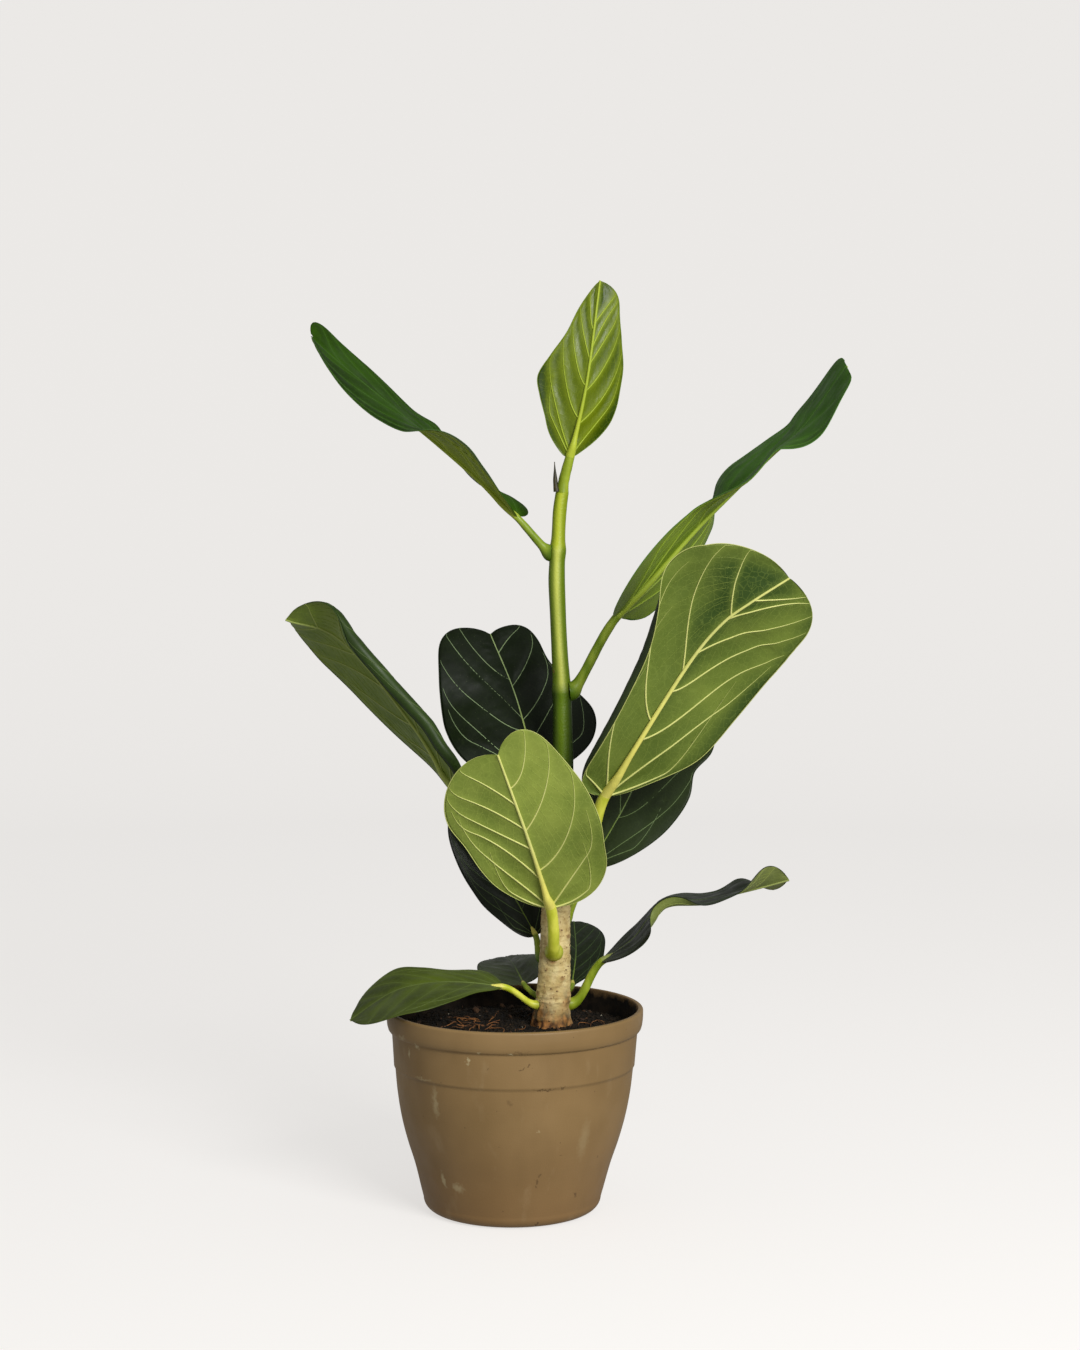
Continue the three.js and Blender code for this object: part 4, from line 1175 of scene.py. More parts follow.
def quarter(centre_radius, centre_height, round_radius, from_degrees, to_degrees, steps=8):
    """Quarter round as [radius, height] pairs."""
    turn = np.radians(np.linspace(from_degrees, to_degrees, steps))
    middle = [centre_radius, centre_height]
    return middle + round_radius * np.stack([np.cos(turn), np.sin(turn)], 1)


def belly(inset):
    """Wall from the foot's round up to the lip, moved in by inset, as [radius, height] pairs."""
    low = smooth_path(POT_BELLY, np.linspace(0, 1, BELLY_RINGS))
    high = smooth_path([WALL_STEP, WALL_TOP], np.linspace(0, 1, UPPER_WALL_RINGS))
    return np.vstack([low, high])[:, ::-1] - [inset, 0]


def inner_wall(clearance):
    """Inside of the pot from its floor to the lip, moved in by clearance."""
    inner_round = FOOT_ROUND - POT_WALL - clearance
    down = math.degrees(math.asin((FOOT_ROUND - POT_FLOOR - clearance) / inner_round))
    foot = quarter(FOOT_RADIUS - FOOT_ROUND, FOOT_ROUND, inner_round, -down, 0)
    return np.vstack([foot, belly(POT_WALL + clearance)[1:]])


def pot_rings():
    """Rings from the middle underneath, up the outside and down the inside, and how many are outside."""
    lip = POT_RIM_RADIUS - RIM_ROUND
    floor = [[r, 0] for r in np.linspace(POT_MIDDLE, FOOT_RADIUS - FOOT_ROUND - 1, UNDERSIDE_RINGS)]
    foot = quarter(FOOT_RADIUS - FOOT_ROUND, FOOT_ROUND, FOOT_ROUND, -90, 0, 12)[:-1]
    lip_face = [[POT_RIM_RADIUS, height] for height in RIM_FACE]
    lip_top = quarter(lip, POT_HEIGHT - RIM_ROUND, RIM_ROUND, 0, 90)
    lip_inside = quarter(lip - POT_WALL / 2, POT_HEIGHT - RIM_ROUND, RIM_ROUND, 110, 180)
    inner = inner_wall(0)[::-1]
    inside_radii = np.linspace(inner[-1][0] - 1, POT_MIDDLE, INSIDE_FLOOR_RINGS)
    inside_floor = [[r, POT_FLOOR] for r in inside_radii]
    outside = np.vstack([floor, foot, belly(0), UNDER_LIP, lip_face, lip_top])
    inside = np.vstack([lip_inside, inner, inside_floor])
    return leaned(turned(np.vstack([outside, inside]), POT_SIDES)), len(outside)


def leaned(rings):
    """The pot's wall and what fills it, with the foot a little to the left."""
    rings[..., 0] += POT_LEAN * np.clip(1 - rings[..., 2] / POT_HEIGHT, 0, 1)
    return rings


def drain_cutter():
    """Upright bars that cut the drain holes."""
    bars = []
    for k in range(DRAIN_HOLES):
        turn = 2 * math.pi * k / DRAIN_HOLES
        rings = turned([[DRAIN_RADIUS, -2 * POT_FLOOR], [DRAIN_RADIUS, 3 * POT_FLOOR]], DRAIN_SIDES)
        rings = rings + [DRAIN_CIRCLE * math.cos(turn), DRAIN_CIRCLE * math.sin(turn), 0]
        bars.append(mesh_of("drain bar", *ring_solid(rings), []))
    return object_of(joined(bars, "drain bars"))


def pot_mesh(clean, muddy_shaded):
    """Pot with its drain holes cut; the wall is a little uneven as thin moulded plastic is."""
    rings, outside = pot_rings()
    turn = np.arctan2(rings[..., 1], rings[..., 0]) / (2 * math.pi)
    outward = unit(rings[..., :2] + 1e-9)
    sway = layered(turn, rings[..., 2] / POT_HEIGHT, [POT_SWAY]) * eased(rings[..., 2] / SWAY_FROM)
    rings[..., :2] += outward * sway[..., None]
    places, faces = ring_solid(rings)
    looks = [int(face[0] // POT_SIDES > outside) for face in faces]
    source = object_of(mesh_of("pot body", places, faces, [clean, muddy_shaded], looks))
    bars = drain_cutter()
    cut = source.modifiers.new("drain holes", "BOOLEAN")
    cut.operation = "DIFFERENCE"
    cut.object = bars
    bpy.context.view_layer.update()
    shown = source.evaluated_get(bpy.context.evaluated_depsgraph_get())
    made = bpy.data.meshes.new_from_object(shown)
    bpy.data.objects.remove(source)
    bpy.data.objects.remove(bars)
    return made


def soil_height(x, y):
    """Height of the soil's rough top."""
    radius = np.hypot(x, y)
    rough = layered(x / SOIL_SPAN + 0.5, y / SOIL_SPAN + 0.5, SOIL_LUMPS)
    edge = wall_radius(SOIL_LEVEL - SOIL_EDGE_DROP)
    drop = SOIL_EDGE_DROP * eased((radius - SOIL_FLAT_RADIUS) / (edge - SOIL_FLAT_RADIUS))
    from_trunk = np.hypot(x - TRUNK[0][1], y - TRUNK[0][2])
    mound = np.exp(-((from_trunk / MOUND_REACH) ** 4))
    clear = eased((from_trunk - TRUNK_CLEAR) / TRUNK_CLEAR_REACH)
    calm = clear * (1 - SOIL_CALM * eased((radius - SOIL_CALM_FROM) / SOIL_CALM_REACH))
    return SOIL_LEVEL - drop + mound + rough * calm


def wall_radius(height):
    """Radius of the soil where it meets the wall at a height."""
    wall = inner_wall(SOIL_GAP)
    return float(np.interp(height, wall[:, 1], wall[:, 0]))


def soil_top():
    """Points of the soil's top from the wall to the middle."""
    turn = np.linspace(0, 2 * math.pi, SOIL_SIDES, endpoint=False)
    radius = np.linspace(wall_radius(SOIL_LEVEL - SOIL_EDGE_DROP), SOIL_MIDDLE, SOIL_RINGS)[:, None]
    x = radius * np.cos(turn)
    y = radius * np.sin(turn)
    return np.stack([x, y, soil_height(x, y)], -1)


def soil_mesh(look):
    """Filling of the pot: its underside and side stand off the pot, and its top is rough."""
    wall = inner_wall(SOIL_GAP)
    wall = wall[wall[:, 1] < SOIL_LEVEL - SOIL_EDGE_DROP - SOIL_SIDE_STOPS]
    floor_radii = np.linspace(SOIL_MIDDLE, wall[0][0] - 2, SOIL_FLOOR_RINGS)
    floor = [[r, POT_FLOOR + SOIL_GAP] for r in floor_radii]
    rings = leaned(np.vstack([turned(np.vstack([floor, wall]), SOIL_SIDES), soil_top()]))
    return mesh_of("soil body", *ring_solid(rings), [look])


def soil_surface():
    """Top of the soil alone, for crumbs to sit on."""
    top = soil_top()[::-1]
    index = np.arange(top.shape[0] * top.shape[1]).reshape(top.shape[:2])
    index = np.hstack([index, index[:, :1]])[:, ::-1]
    return mesh_of("soil surface", top.reshape(-1, 3), grid_faces(index), [])


def shred_lines(count, seed, middle, spread, long, radius):
    """Bent shreds that lie on the soil around a middle place."""
    rng = np.random.default_rng(seed)
    arch = np.sin(np.linspace(0, math.pi, SHRED_POINTS))
    taper = 0.5 + 0.5 * np.sin(np.linspace(0.3, math.pi - 0.3, SHRED_POINTS))
    lines = []
    for _ in range(count):
        start = np.array(middle) + rng.normal(0, spread, 2)
        heading = rng.uniform(0, 2 * math.pi)
        bend = rng.uniform(-SHRED_BEND, SHRED_BEND)
        step = rng.uniform(0.5, 1) * long / (SHRED_POINTS - 1)
        headings = heading + bend * np.arange(SHRED_POINTS)
        path = start + np.cumsum(np.stack([np.cos(headings), np.sin(headings)], 1) * step, axis=0)
        if np.hypot(*path.T).max() > SHRED_LIMIT:
            continue
        lift = SHRED_STAND + rng.uniform(0, SHRED_ARCH) * arch
        places = np.column_stack([path, soil_height(path[:, 0], path[:, 1]) + lift])
        lines.append((places, rng.uniform(0.6, 1) * radius * taper, 0.0))
    return lines


# Trunk

TRUNK_LINE = smooth_path(TRUNK, np.linspace(0, 1, TRUNK_STEPS))


def trunk_at(height):
    """Middle of the trunk and its radius at a height."""
    heights = TRUNK_LINE[:, 0]
    x, y, radius = (np.interp(height, heights, TRUNK_LINE[:, k]) for k in (1, 2, 3))
    for node in STEM_NODES:
        radius = radius + NODE_SWELL * np.exp(-(((height - node) / NODE_REACH) ** 2))
    return np.array([x, y, height + 0 * x]).T, radius


def ring_marks(height):
    """How strongly each height lies on a ring that a fallen leaf's sheath or a petiole left."""
    marks = [sizes["leaves"][0] + RING_ABOVE_LEAF for sizes in LEAVES.values() if "leaves" in sizes]
    marks = [mark for mark in marks if mark < STEM_FROM] + BARK_RINGS
    on_bark = sum(np.exp(-(((height - mark) / BARK_RING_HALF) ** 2)) for mark in marks)
    on_stem = sum(np.exp(-(((height - mark) / STEM_RING_HALF) ** 2)) for mark in STEM_RINGS)
    return on_bark + STEM_RING_SHARE * on_stem


def scar_marks(height, turn):
    """Leaf scars: how far each stands out, and how much of its colour shows."""
    lift = 0 * height * turn
    shade = 0 * height * turn
    for middle, bearing, half_height, half_width, stands in LEAF_SCARS:
        _, radius = trunk_at(np.array(float(middle)))
        off = (turn - math.radians(bearing) + math.pi) % (2 * math.pi) - math.pi
        away = np.hypot((height - middle) / half_height, off * radius / half_width)
        hollow = SCAR_DEPTH * stands * np.exp(-((away / SCAR_HOLLOW) ** 4))
        lift = lift + stands * np.exp(-((away / SCAR_RIM) ** 6)) - hollow
        shade = shade + np.exp(-((away / SCAR_COLOURED) ** 6))
    return lift, np.clip(shade, 0, 1)


def foot_crust_and_painted_shade(height, turn, around, share):
    """How dark and crusted the foot is, with painted shade that reaches higher on the side away from the
    light.
    """
    above = height - TRUNK_FOOT
    border = layered(around, share, [FOOT_BORDER])
    foot = eased(FOOT_DARK_FROM - above / FOOT_DARK_HEIGHT + border) * FOOT_DARK
    # Painted shade: the side away from the light is darker higher up.
    painted_shade_away_from_light = np.clip(-np.cos(turn) * 0.5 + 0.1, 0, 1) * 0.5
    return np.clip(foot + painted_shade_away_from_light * eased(1 - above / PAINTED_SIDE_SHADE_HEIGHT), 0, 1)


def painted_light_band_share(height, turn, share):
    """Painted light: a paler band up the stem, slimmer between the nodes."""
    width = LIGHT_BAND_WIDTH + sum(by * eased((height - low) / reach) for low, reach, by in LIGHT_BAND_CHANGES)
    wander = layered(0 * height + 0.4, share, [LIGHT_BAND_WANDER])
    return np.exp(-(((turn - LIGHT_BAND_BEARING - wander) / width) ** 2))


def trunk_mesh(look):
    """Trunk and stem with relief, leaf scars, rings, flare and the values that its colours follow."""
    heights = np.linspace(0, 1, TRUNK_RINGS) ** LOW_RINGS_DENSER * (TRUNK_TOP - TRUNK_FOOT) + TRUNK_FOOT
    turn = np.linspace(0, 2 * math.pi, TRUNK_SIDES, endpoint=False)[None, :]
    middle, radius = trunk_at(heights)
    height = heights[:, None]
    share = (height - TRUNK_FOOT) / (TRUNK_TOP - TRUNK_FOOT)
    around = turn / (2 * math.pi)
    green = eased((height - (BARK_ENDS - BARK_FADE)) / (2 * BARK_FADE)) + 0 * turn
    fade = np.clip(1 - (height - TRUNK_FOOT) / FLARE_HEIGHT, 0, 1) ** 2
    flare = FLARE * fade * np.maximum(0, np.cos(FLARE_LOBES * turn))
    relief = layered(around, share, BARK_LUMPS) * (1 - green) + layered(around, share, STEM_LUMPS) * green
    low = eased(1 - (height - TRUNK_FOOT) / FOOT_LUMPS_HEIGHT)
    lift, scar = scar_marks(height, turn)
    ring = ring_marks(height)
    r = radius[:, None] + flare + relief + lift + RING_STAND * ring * (1 - RING_LOWER_ON_STEM * green)
    r = r + low * layered(around, share, FOOT_LUMPS)
    rings = middle[:, None, :] + np.stack([r * np.cos(turn), r * np.sin(turn), 0 * r], -1)
    broken_ring = np.clip(ring, 0, 1) * (RING_SHOWS + layered(around, share, [RING_BREAKS]))
    # foot holds crust and painted shade; the stem's band is painted light.
    values = {
        "green": green, "scar": scar * SCAR_TONE, "foot": foot_crust_and_painted_shade(height, turn, around, share) + 0 * turn,
        "painted_light_band": painted_light_band_share(height, turn, share), "ring": broken_ring + 0 * turn,
    }
    ends = {key: np.append(many.ravel(), [many[0, 0], many[-1, 0]]) for key, many in values.items()}
    places, faces = ring_solid(rings)
    return mesh_of("trunk body", places, faces, [look], values=ends)


def bark_patch(low, high):
    """Trunk surface between two heights, for lenticels to sit on."""
    heights = np.linspace(low, high, PATCH_RINGS)
    turn = np.linspace(0, 2 * math.pi, PATCH_SIDES + 1)
    middle, radius = trunk_at(heights)
    r = radius[:, None] + LENTICEL_STAND
    grid = middle[:, None, :] + np.stack([r * np.cos(turn), r * np.sin(turn), 0 * r + 0 * turn], -1)
    index = np.arange(grid.shape[0] * grid.shape[1]).reshape(grid.shape[:2])
    return mesh_of("bark patch", grid.reshape(-1, 3), grid_faces(index), [])


# Leaves


def blade_frame(leaf, s):
    """Midrib place and the blade's own directions: along the midrib, out of the upper face, to the right."""
    low = np.maximum(0, s - TANGENT_STEP)
    high = np.minimum(1, s + TANGENT_STEP)
    forward = unit(smooth_path(leaf["midrib"], high) - smooth_path(leaf["midrib"], low))
    face = between(unit(np.asarray(leaf["face"], float)), s, ease=True)
    up = unit(face - forward * np.sum(face * forward, axis=-1, keepdims=True))
    return smooth_path(leaf["midrib"], s), forward, up, np.cross(forward, up)


def outline(leaf, s):
    """Half width of the whole outline, before each side's own fullness."""
    at = np.clip(s, BLADE_END, 1 - BLADE_END)
    rise = (at / leaf["broadest"]) ** (leaf["broadest"] * leaf["blunt"])
    fall = ((1 - at) / (1 - leaf["broadest"])) ** ((1 - leaf["broadest"]) * leaf["blunt"])
    return leaf["width"] / 2 * rise * fall


def of_side(leaf, key, s, right_side):
    """A run of numbers of the blade's left or right side, read at s."""
    left, right = leaf[key]
    return np.where(right_side, evenly(right, s), evenly(left, s))


def blade_place(leaf, s, t):
    """Middle surface: s from base to tip, t from -1 at the left edge to 1 at the right edge."""
    s, t = np.broadcast_arrays(np.asarray(s, float), np.asarray(t, float))
    centre, forward, up, right = blade_frame(leaf, s)
    right_side = t >= 0
    out = np.abs(t)
    least = BLADE_BASE_HALF * (1 - s) + BLADE_TIP_HALF * s
    full = np.maximum(outline(leaf, s) * of_side(leaf, "full", s, right_side), least)
    turn = np.radians(of_side(leaf, "roll", s, right_side))
    turn = np.where(np.abs(turn) < LEAST_ROLL, LEAST_ROLL, turn)
    angle = turn * np.maximum(0, out - ROLL_FROM) / (1 - ROLL_FROM)
    reach = full * (np.minimum(out, ROLL_FROM) + (1 - ROLL_FROM) * np.sin(angle) / turn)
    sink = full * (1 - ROLL_FROM) * (1 - np.cos(angle)) / turn
    rise = np.radians(of_side(leaf, "fold", s, right_side) + of_side(leaf, "curl", s, right_side) * out / 2)
    height, count, start = leaf["wave"]
    phase = 2 * math.pi * count * s + math.radians(start) + right_side * RIGHT_WAVE_SHIFT
    wave = height * out**2 * np.sin(phase) * np.sqrt(np.maximum(0, np.sin(math.pi * s)))
    spread = out * (np.maximum(0, outline(leaf, s) - least) / (leaf["width"] / 2)) ** NOTCH_POWER
    notch = np.where(right_side, leaf["notch"][1], leaf["notch"][0])
    ear = np.where(right_side, leaf["ear"][1], leaf["ear"][0])
    past = (notch * s**END_SPREAD - ear * out * (1 - s) ** END_SPREAD) * spread
    sideways = np.sign(t) * (reach * np.cos(rise) + sink * np.sin(rise))
    upward = reach * np.sin(rise) - sink * np.cos(rise) + wave
    return centre + right * sideways[..., None] + up * upward[..., None] + forward * past[..., None]


def blade_normal(leaf, s, t, step=NORMAL_STEP):
    """Way out of the upper face at each place."""
    across = blade_place(leaf, s, t + step) - blade_place(leaf, s, t - step)
    onward = blade_place(leaf, np.minimum(s + step, 1), t) - blade_place(leaf, np.maximum(s - step, 0), t)
    return unit(np.cross(across, onward))


def nearest(places, valleys):
    """Distance from each place to the nearest valley point."""
    flat = places.reshape(-1, 3)
    gaps = np.full(len(flat), np.inf)
    for point in valleys:
        gaps = np.minimum(gaps, np.sum((flat - point) ** 2, axis=1))
    return np.sqrt(gaps).reshape(places.shape[:-1])


def blade_surface(leaf, s, t, valleys):
    """Middle surface puffed up between the veins, with its normals and the distance to the nearest vein."""
    s, t = np.broadcast_arrays(np.asarray(s, float), np.asarray(t, float))
    place = blade_place(leaf, s, t)
    normal = blade_normal(leaf, s, t)
    gap = nearest(place, valleys)
    inside = 1 - np.abs(t) ** PUFF_FADE
    puff = leaf["puff"] * (1 - np.exp(-((gap / PUFF_REACH) ** 2)))
    uneven = layered(t / 2 + 0.5, s, BLADE_LUMPS, leaf["seed"])
    rise = (puff + uneven * np.minimum(1, gap / PUFF_REACH)) * inside
    return place + normal * rise[..., None], normal, gap


def half_width(leaf, s, side):
    """Half width of one side in millimetres, as it is laid out flat."""
    least = BLADE_BASE_HALF * (1 - s) + BLADE_TIP_HALF * s
    return np.maximum(outline(leaf, s) * evenly(leaf["full"][0 if side < 0 else 1], s), least)


def vein_course(leaf, side, vein, q):
    """Course of a side vein on the blade laid flat: q is 0 at the midrib; its end arches along the edge."""
    start, end, bow = vein
    turning = np.maximum(0, q - ARCH_FROM)
    out = q - turning**2 / (2 * (ARCH_END - ARCH_FROM))
    arch = VEIN_ARCH * (1 - end) * (turning / (ARCH_END - ARCH_FROM)) ** 2
    s = np.clip(start + (end - start) * (out + bow * out * (1 - out)) + arch, 0, VEIN_S_LIMIT)
    across = VEIN_REACH * half_width(leaf, np.array([end]), side)[0] * out
    return s, side * np.minimum(across / half_width(leaf, s, side), VEIN_T_LIMIT)


def main_veins(leaf):
    """Side veins as (s, t, radius, tone)."""
    courses = []
    q = np.linspace(0, ARCH_END, VEIN_POINTS)
    share = q / ARCH_END
    size = VEIN_SMALL_BLADE + (1 - VEIN_SMALL_BLADE) * leaf["width"] / FULL_WIDTH
    for side, veins in zip((-1, 1), leaf["veins"]):
        for vein in veins:
            s, t = vein_course(leaf, side, vein, q)
            first = VEIN_RADIUS * size * (VEIN_LOWEST - VEIN_FINER * vein[1])
            radius = VEIN_END_RADIUS + (first - VEIN_END_RADIUS) * (1 - share) ** VEIN_TAPER
            courses.append((s, t, radius, VEIN_TONE - VEIN_TONE_FADE * share**3))
    return courses


def rung_courses(leaf):
    """Fine veins from each side vein to the next, as (s, t, radius, tone)."""
    rng = np.random.default_rng(leaf["seed"] + RUNG_SEED)
    low_slip, high_slip = RUNG_SLIPS
    w = np.linspace(0, 1, RUNG_POINTS)
    courses = []
    for side, veins in zip((-1, 1), leaf["veins"]):
        for lower, upper in zip(veins, veins[1:]):
            for q in np.arange(*RUNG_PLACES):
                low_q = q + rng.uniform(-low_slip, low_slip)
                high_q = max(RUNG_NEAREST, q - RUNG_SLANT) + rng.uniform(-high_slip, high_slip)
                s0, t0 = vein_course(leaf, side, lower, np.array([low_q]))
                s1, t1 = vein_course(leaf, side, upper, np.array([high_q]))
                bow = rng.uniform(-RUNG_BOW, RUNG_BOW) * np.sin(math.pi * w)
                s = s0 + (s1 - s0) * w + bow
                courses.append((s, t0 + (t1 - t0) * w, RUNG_RADIUS + 0 * w, RUNG_TONE + 0 * w))
    return courses


def under_lines(leaf, courses, valleys):
    """Places for the sweep along the underside, set in so that only part of each vein stands out."""
    lines = []
    for s, t, radius, tone in courses:
        place, normal, _ = blade_surface(leaf, s, t, valleys)
        down = BLADE_HALF_THICK - radius * (1 - 2 * UNDER_STAND)
        lines.append((place - normal * down[:, None], radius, tone))
    return lines


def upper_lines(leaf, courses, valleys):
    """Thin pale lines along the veins of the upper face."""
    lines = []
    for s, t, radius, tone in courses:
        thin = np.minimum(radius, UPPER_VEIN_RADIUS * np.sqrt(radius / VEIN_RADIUS))
        place, normal, _ = blade_surface(leaf, s, t, valleys)
        up = BLADE_HALF_THICK + UPPER_STAND - thin
        lines.append((place + normal * up[:, None], thin, 0.25 + tone / 2))
    return lines


def midrib_line(leaf, upper_side):
    """Midrib, thick on the underside and thin on the upper face."""
    s = np.linspace(0, 1, MIDRIB_POINTS)
    _, normal, _ = blade_surface(leaf, s, 0 * s, np.array(NO_VALLEY))
    place = blade_place(leaf, s, 0 * s)
    neck = leaf["stalk"][1]
    swells = sum(share * np.exp(-((s / reach) ** 2)) for share, reach in MIDRIB_SWELLS)
    swell = MIDRIB_TAPER * (1 - s) + swells
    radius = MIDRIB_TIP + (neck - MIDRIB_TIP) * swell
    tone = np.clip(1.2 - 1.3 * s, 0.6, 1)
    if upper_side:
        thin = np.minimum(radius, between(UPPER_MIDRIB, 1 - s))
        return place + normal * (BLADE_HALF_THICK + MIDRIB_STAND - thin)[:, None], thin, tone
    down = np.maximum(0, radius - BLADE_HALF_THICK) * eased(s / MIDRIB_JOINS)
    return place - normal * down[:, None], radius, tone


def edge_lines(leaf, valleys):
    """Rim along both edges."""
    s = np.linspace(EDGE_ENDS, 1 - EDGE_ENDS, EDGE_POINTS)
    radius = EDGE_RADIUS * np.minimum(1, EDGE_GROWS * s * (1 - s) + EDGE_TIP)
    lines = []
    for side in (-1, 1):
        place, _, _ = blade_surface(leaf, s, side + 0 * s, valleys)
        lines.append((place, radius, leaf["edge"]))
    return lines


def shade_of(leaf, s, t):
    """How dark each place is: painted shade at the leaf's listed places, and seeded patches."""
    shade = SHADE_USUAL + layered(t / 2 + 0.5, s, SHADE_LUMPS, leaf["seed"])
    for middle_s, middle_t, reach_s, reach_t, strength in leaf["shades"]:
        away = ((s - middle_s) / reach_s) ** 2 + ((t - middle_t) / reach_t) ** 2
        shade = shade + strength * np.exp(-away)
    return np.clip(shade, 0, 1)


def blade_mesh(leaf, valleys, looks):
    """Closed thin blade whose upper face and underside share the points along the edge."""
    rows = (1 - np.cos(np.linspace(0, math.pi, BLADE_ROWS))) / 2
    columns = np.linspace(-1, 1, BLADE_COLUMNS)
    s, t = np.meshgrid(rows, columns, indexing="ij")
    middle, normal, gap = blade_surface(leaf, s, t, valleys)
    thin_side = np.sqrt(np.maximum(0, 1 - np.abs(t) ** THIN_SIDE))
    thin_end = np.sqrt(np.maximum(0, 1 - np.abs(2 * s - 1) ** THIN_END))
    half = (BLADE_HALF_THICK * (thin_side * thin_end))[..., None]
    upper = np.arange(s.size).reshape(s.shape)
    under = upper.copy()
    inner = (slice(1, -1), slice(1, -1))
    under[inner] = s.size + np.arange(under[inner].size).reshape(under[inner].shape)
    upper_places = (middle + normal * half).reshape(-1, 3)
    under_places = (middle - normal * half)[inner].reshape(-1, 3)
    near = np.exp(-((gap / NEAR_VEIN) ** 2))
    shade = shade_of(leaf, s, t) * (1 - VEIN_LIGHTENS * near)
    values = {"near_vein": np.append(near.ravel(), near[inner].ravel()),
              "shade": np.append(shade.ravel(), shade[inner].ravel())}
    upper_faces = grid_faces(upper)
    under_faces = grid_faces(under[:, ::-1])
    face_looks = [0] * len(upper_faces) + [1] * len(under_faces)
    places = np.vstack([upper_places, under_places])
    return mesh_of("blade", places, upper_faces + under_faces, looks, face_looks, values)


def petiole_start(leaf):
    """Where the petiole starts, set into the bark or the top of the stem, and its way out of it."""
    if "leaves" not in leaf:
        upward = np.array([0, 0, 1.0])
        return trunk_at(np.array(float(TRUNK_TOP)))[0] - upward * PETIOLE_SUNK, upward
    height, bearing = leaf["leaves"]
    outward = np.array([math.cos(math.radians(bearing)), math.sin(math.radians(bearing)), 0])
    reach = bark_reach(height, outward, leaf["stalk"][0]) - PETIOLE_SUNK
    return trunk_at(np.array(float(height)))[0] + outward * reach, outward


def collar_flare(leaf):
    """How much the heel flares where it joins the stem."""
    if "leaves" not in leaf:
        return 0
    return STEM_COLLAR if leaf["leaves"][0] > STEM_FROM else PETIOLE_COLLAR


def petiole_line(leaf):
    """From inside the bark, or the top of the stem, to the blade, as (places, radii, tones)."""
    base, forward, _, _ = (part[0] for part in blade_frame(leaf, np.array([0.0])))
    start, outward = petiole_start(leaf)
    end = base + forward * PETIOLE_OVERLAP
    span = np.linalg.norm(end - start)
    corners = [start, start + outward * span * leaf["reach"], end - forward * span * leaf["lead"], end]
    w = np.linspace(0, 1, PETIOLE_RINGS)[:, None]
    places = sum(math.comb(3, k) * (1 - w) ** (3 - k) * w**k * corners[k] for k in range(4))
    steps = np.linalg.norm(np.diff(places, axis=0), axis=1)
    run = np.append(0, np.cumsum(steps))
    share = run / run[-1]
    heel, neck = leaf["stalk"]
    radii = between([heel * PETIOLE_HEEL, heel, (heel + neck) / 2, neck], share, ease=True)
    at_heel = np.exp(-((run / COLLAR_REACH) ** 2))
    uneven = 1 + layered(0.3, share, PETIOLE_LUMPS, leaf["seed"])
    return places, radii * (1 + collar_flare(leaf) * at_heel) * uneven, at_heel * ("leaves" in leaf)


def bark_reach(height, outward, heel):
    """How far the bark stands out from the trunk's middle in a direction, beside a heel of that radius."""
    centre, _ = trunk_at(np.array(float(height)))
    reaches = []
    for step in (-heel, 0, heel):
        middle, radius = trunk_at(np.array(float(height + step)))
        reaches.append(float(np.dot(middle - centre, outward) + radius))
    return max(reaches)


def add_leaf(name, leaf, green):
    """Blade with its two faces, veins, midrib and rim as one piece, and its petiole."""
    slot = "young_leaf" if name == "top" else "leaf"
    looks = [upper_look(f"upper face {name}", leaf["upper"], leaf["shine"], leaf["gloss"]),
             under_look(f"underside {name}", leaf["under"], leaf["shine"] + UNDER_DULLER, leaf["halo"])]
    under_skin = vein_look(f"underside veins {name}", leaf["under"], leaf["vein"], leaf["under_rib"])
    upper_skin = vein_look(f"upper veins {name}", leaf["upper"], leaf["line"], leaf["rib"])
    courses = main_veins(leaf)
    valleys = [blade_place(leaf, s, t) for s, t, _, _ in courses]
    valleys = np.vstack(valleys + [midrib_line(leaf, False)[0]])
    blade = blade_mesh(leaf, valleys, looks)
    below = under_lines(leaf, courses + rung_courses(leaf), valleys)
    above = upper_lines(leaf, courses, valleys)
    rim_side = below if leaf["edge"] > EDGE_UNDER_FROM else above
    rim_side.extend(edge_lines(leaf, valleys))
    parts = [
        blade,
        sweep(below, VEIN_SIDES, under_skin),
        sweep([midrib_line(leaf, False)], UNDER_MIDRIB_SIDES, under_skin),
        sweep(above, VEIN_SIDES, upper_skin),
        sweep([midrib_line(leaf, True)], UPPER_MIDRIB_SIDES, upper_skin),
    ]
    piece(joined(parts, name), f"blade_{name}", slot, f"leaf_{name}")
    stalk = sweep([petiole_line(leaf)], PETIOLE_SIDES, green)
    piece(stalk, f"stalk_{name}", "green_stalk", f"petiole_{name}")


# The plant in its pot


def add_pot():
    """The pot, clean outside, and muddy and darkened with painted shade inside."""
    piece(pot_mesh(plastic_look(), muddy_shaded_plastic_look()), "pot_body", "pot_plastic", "pot")


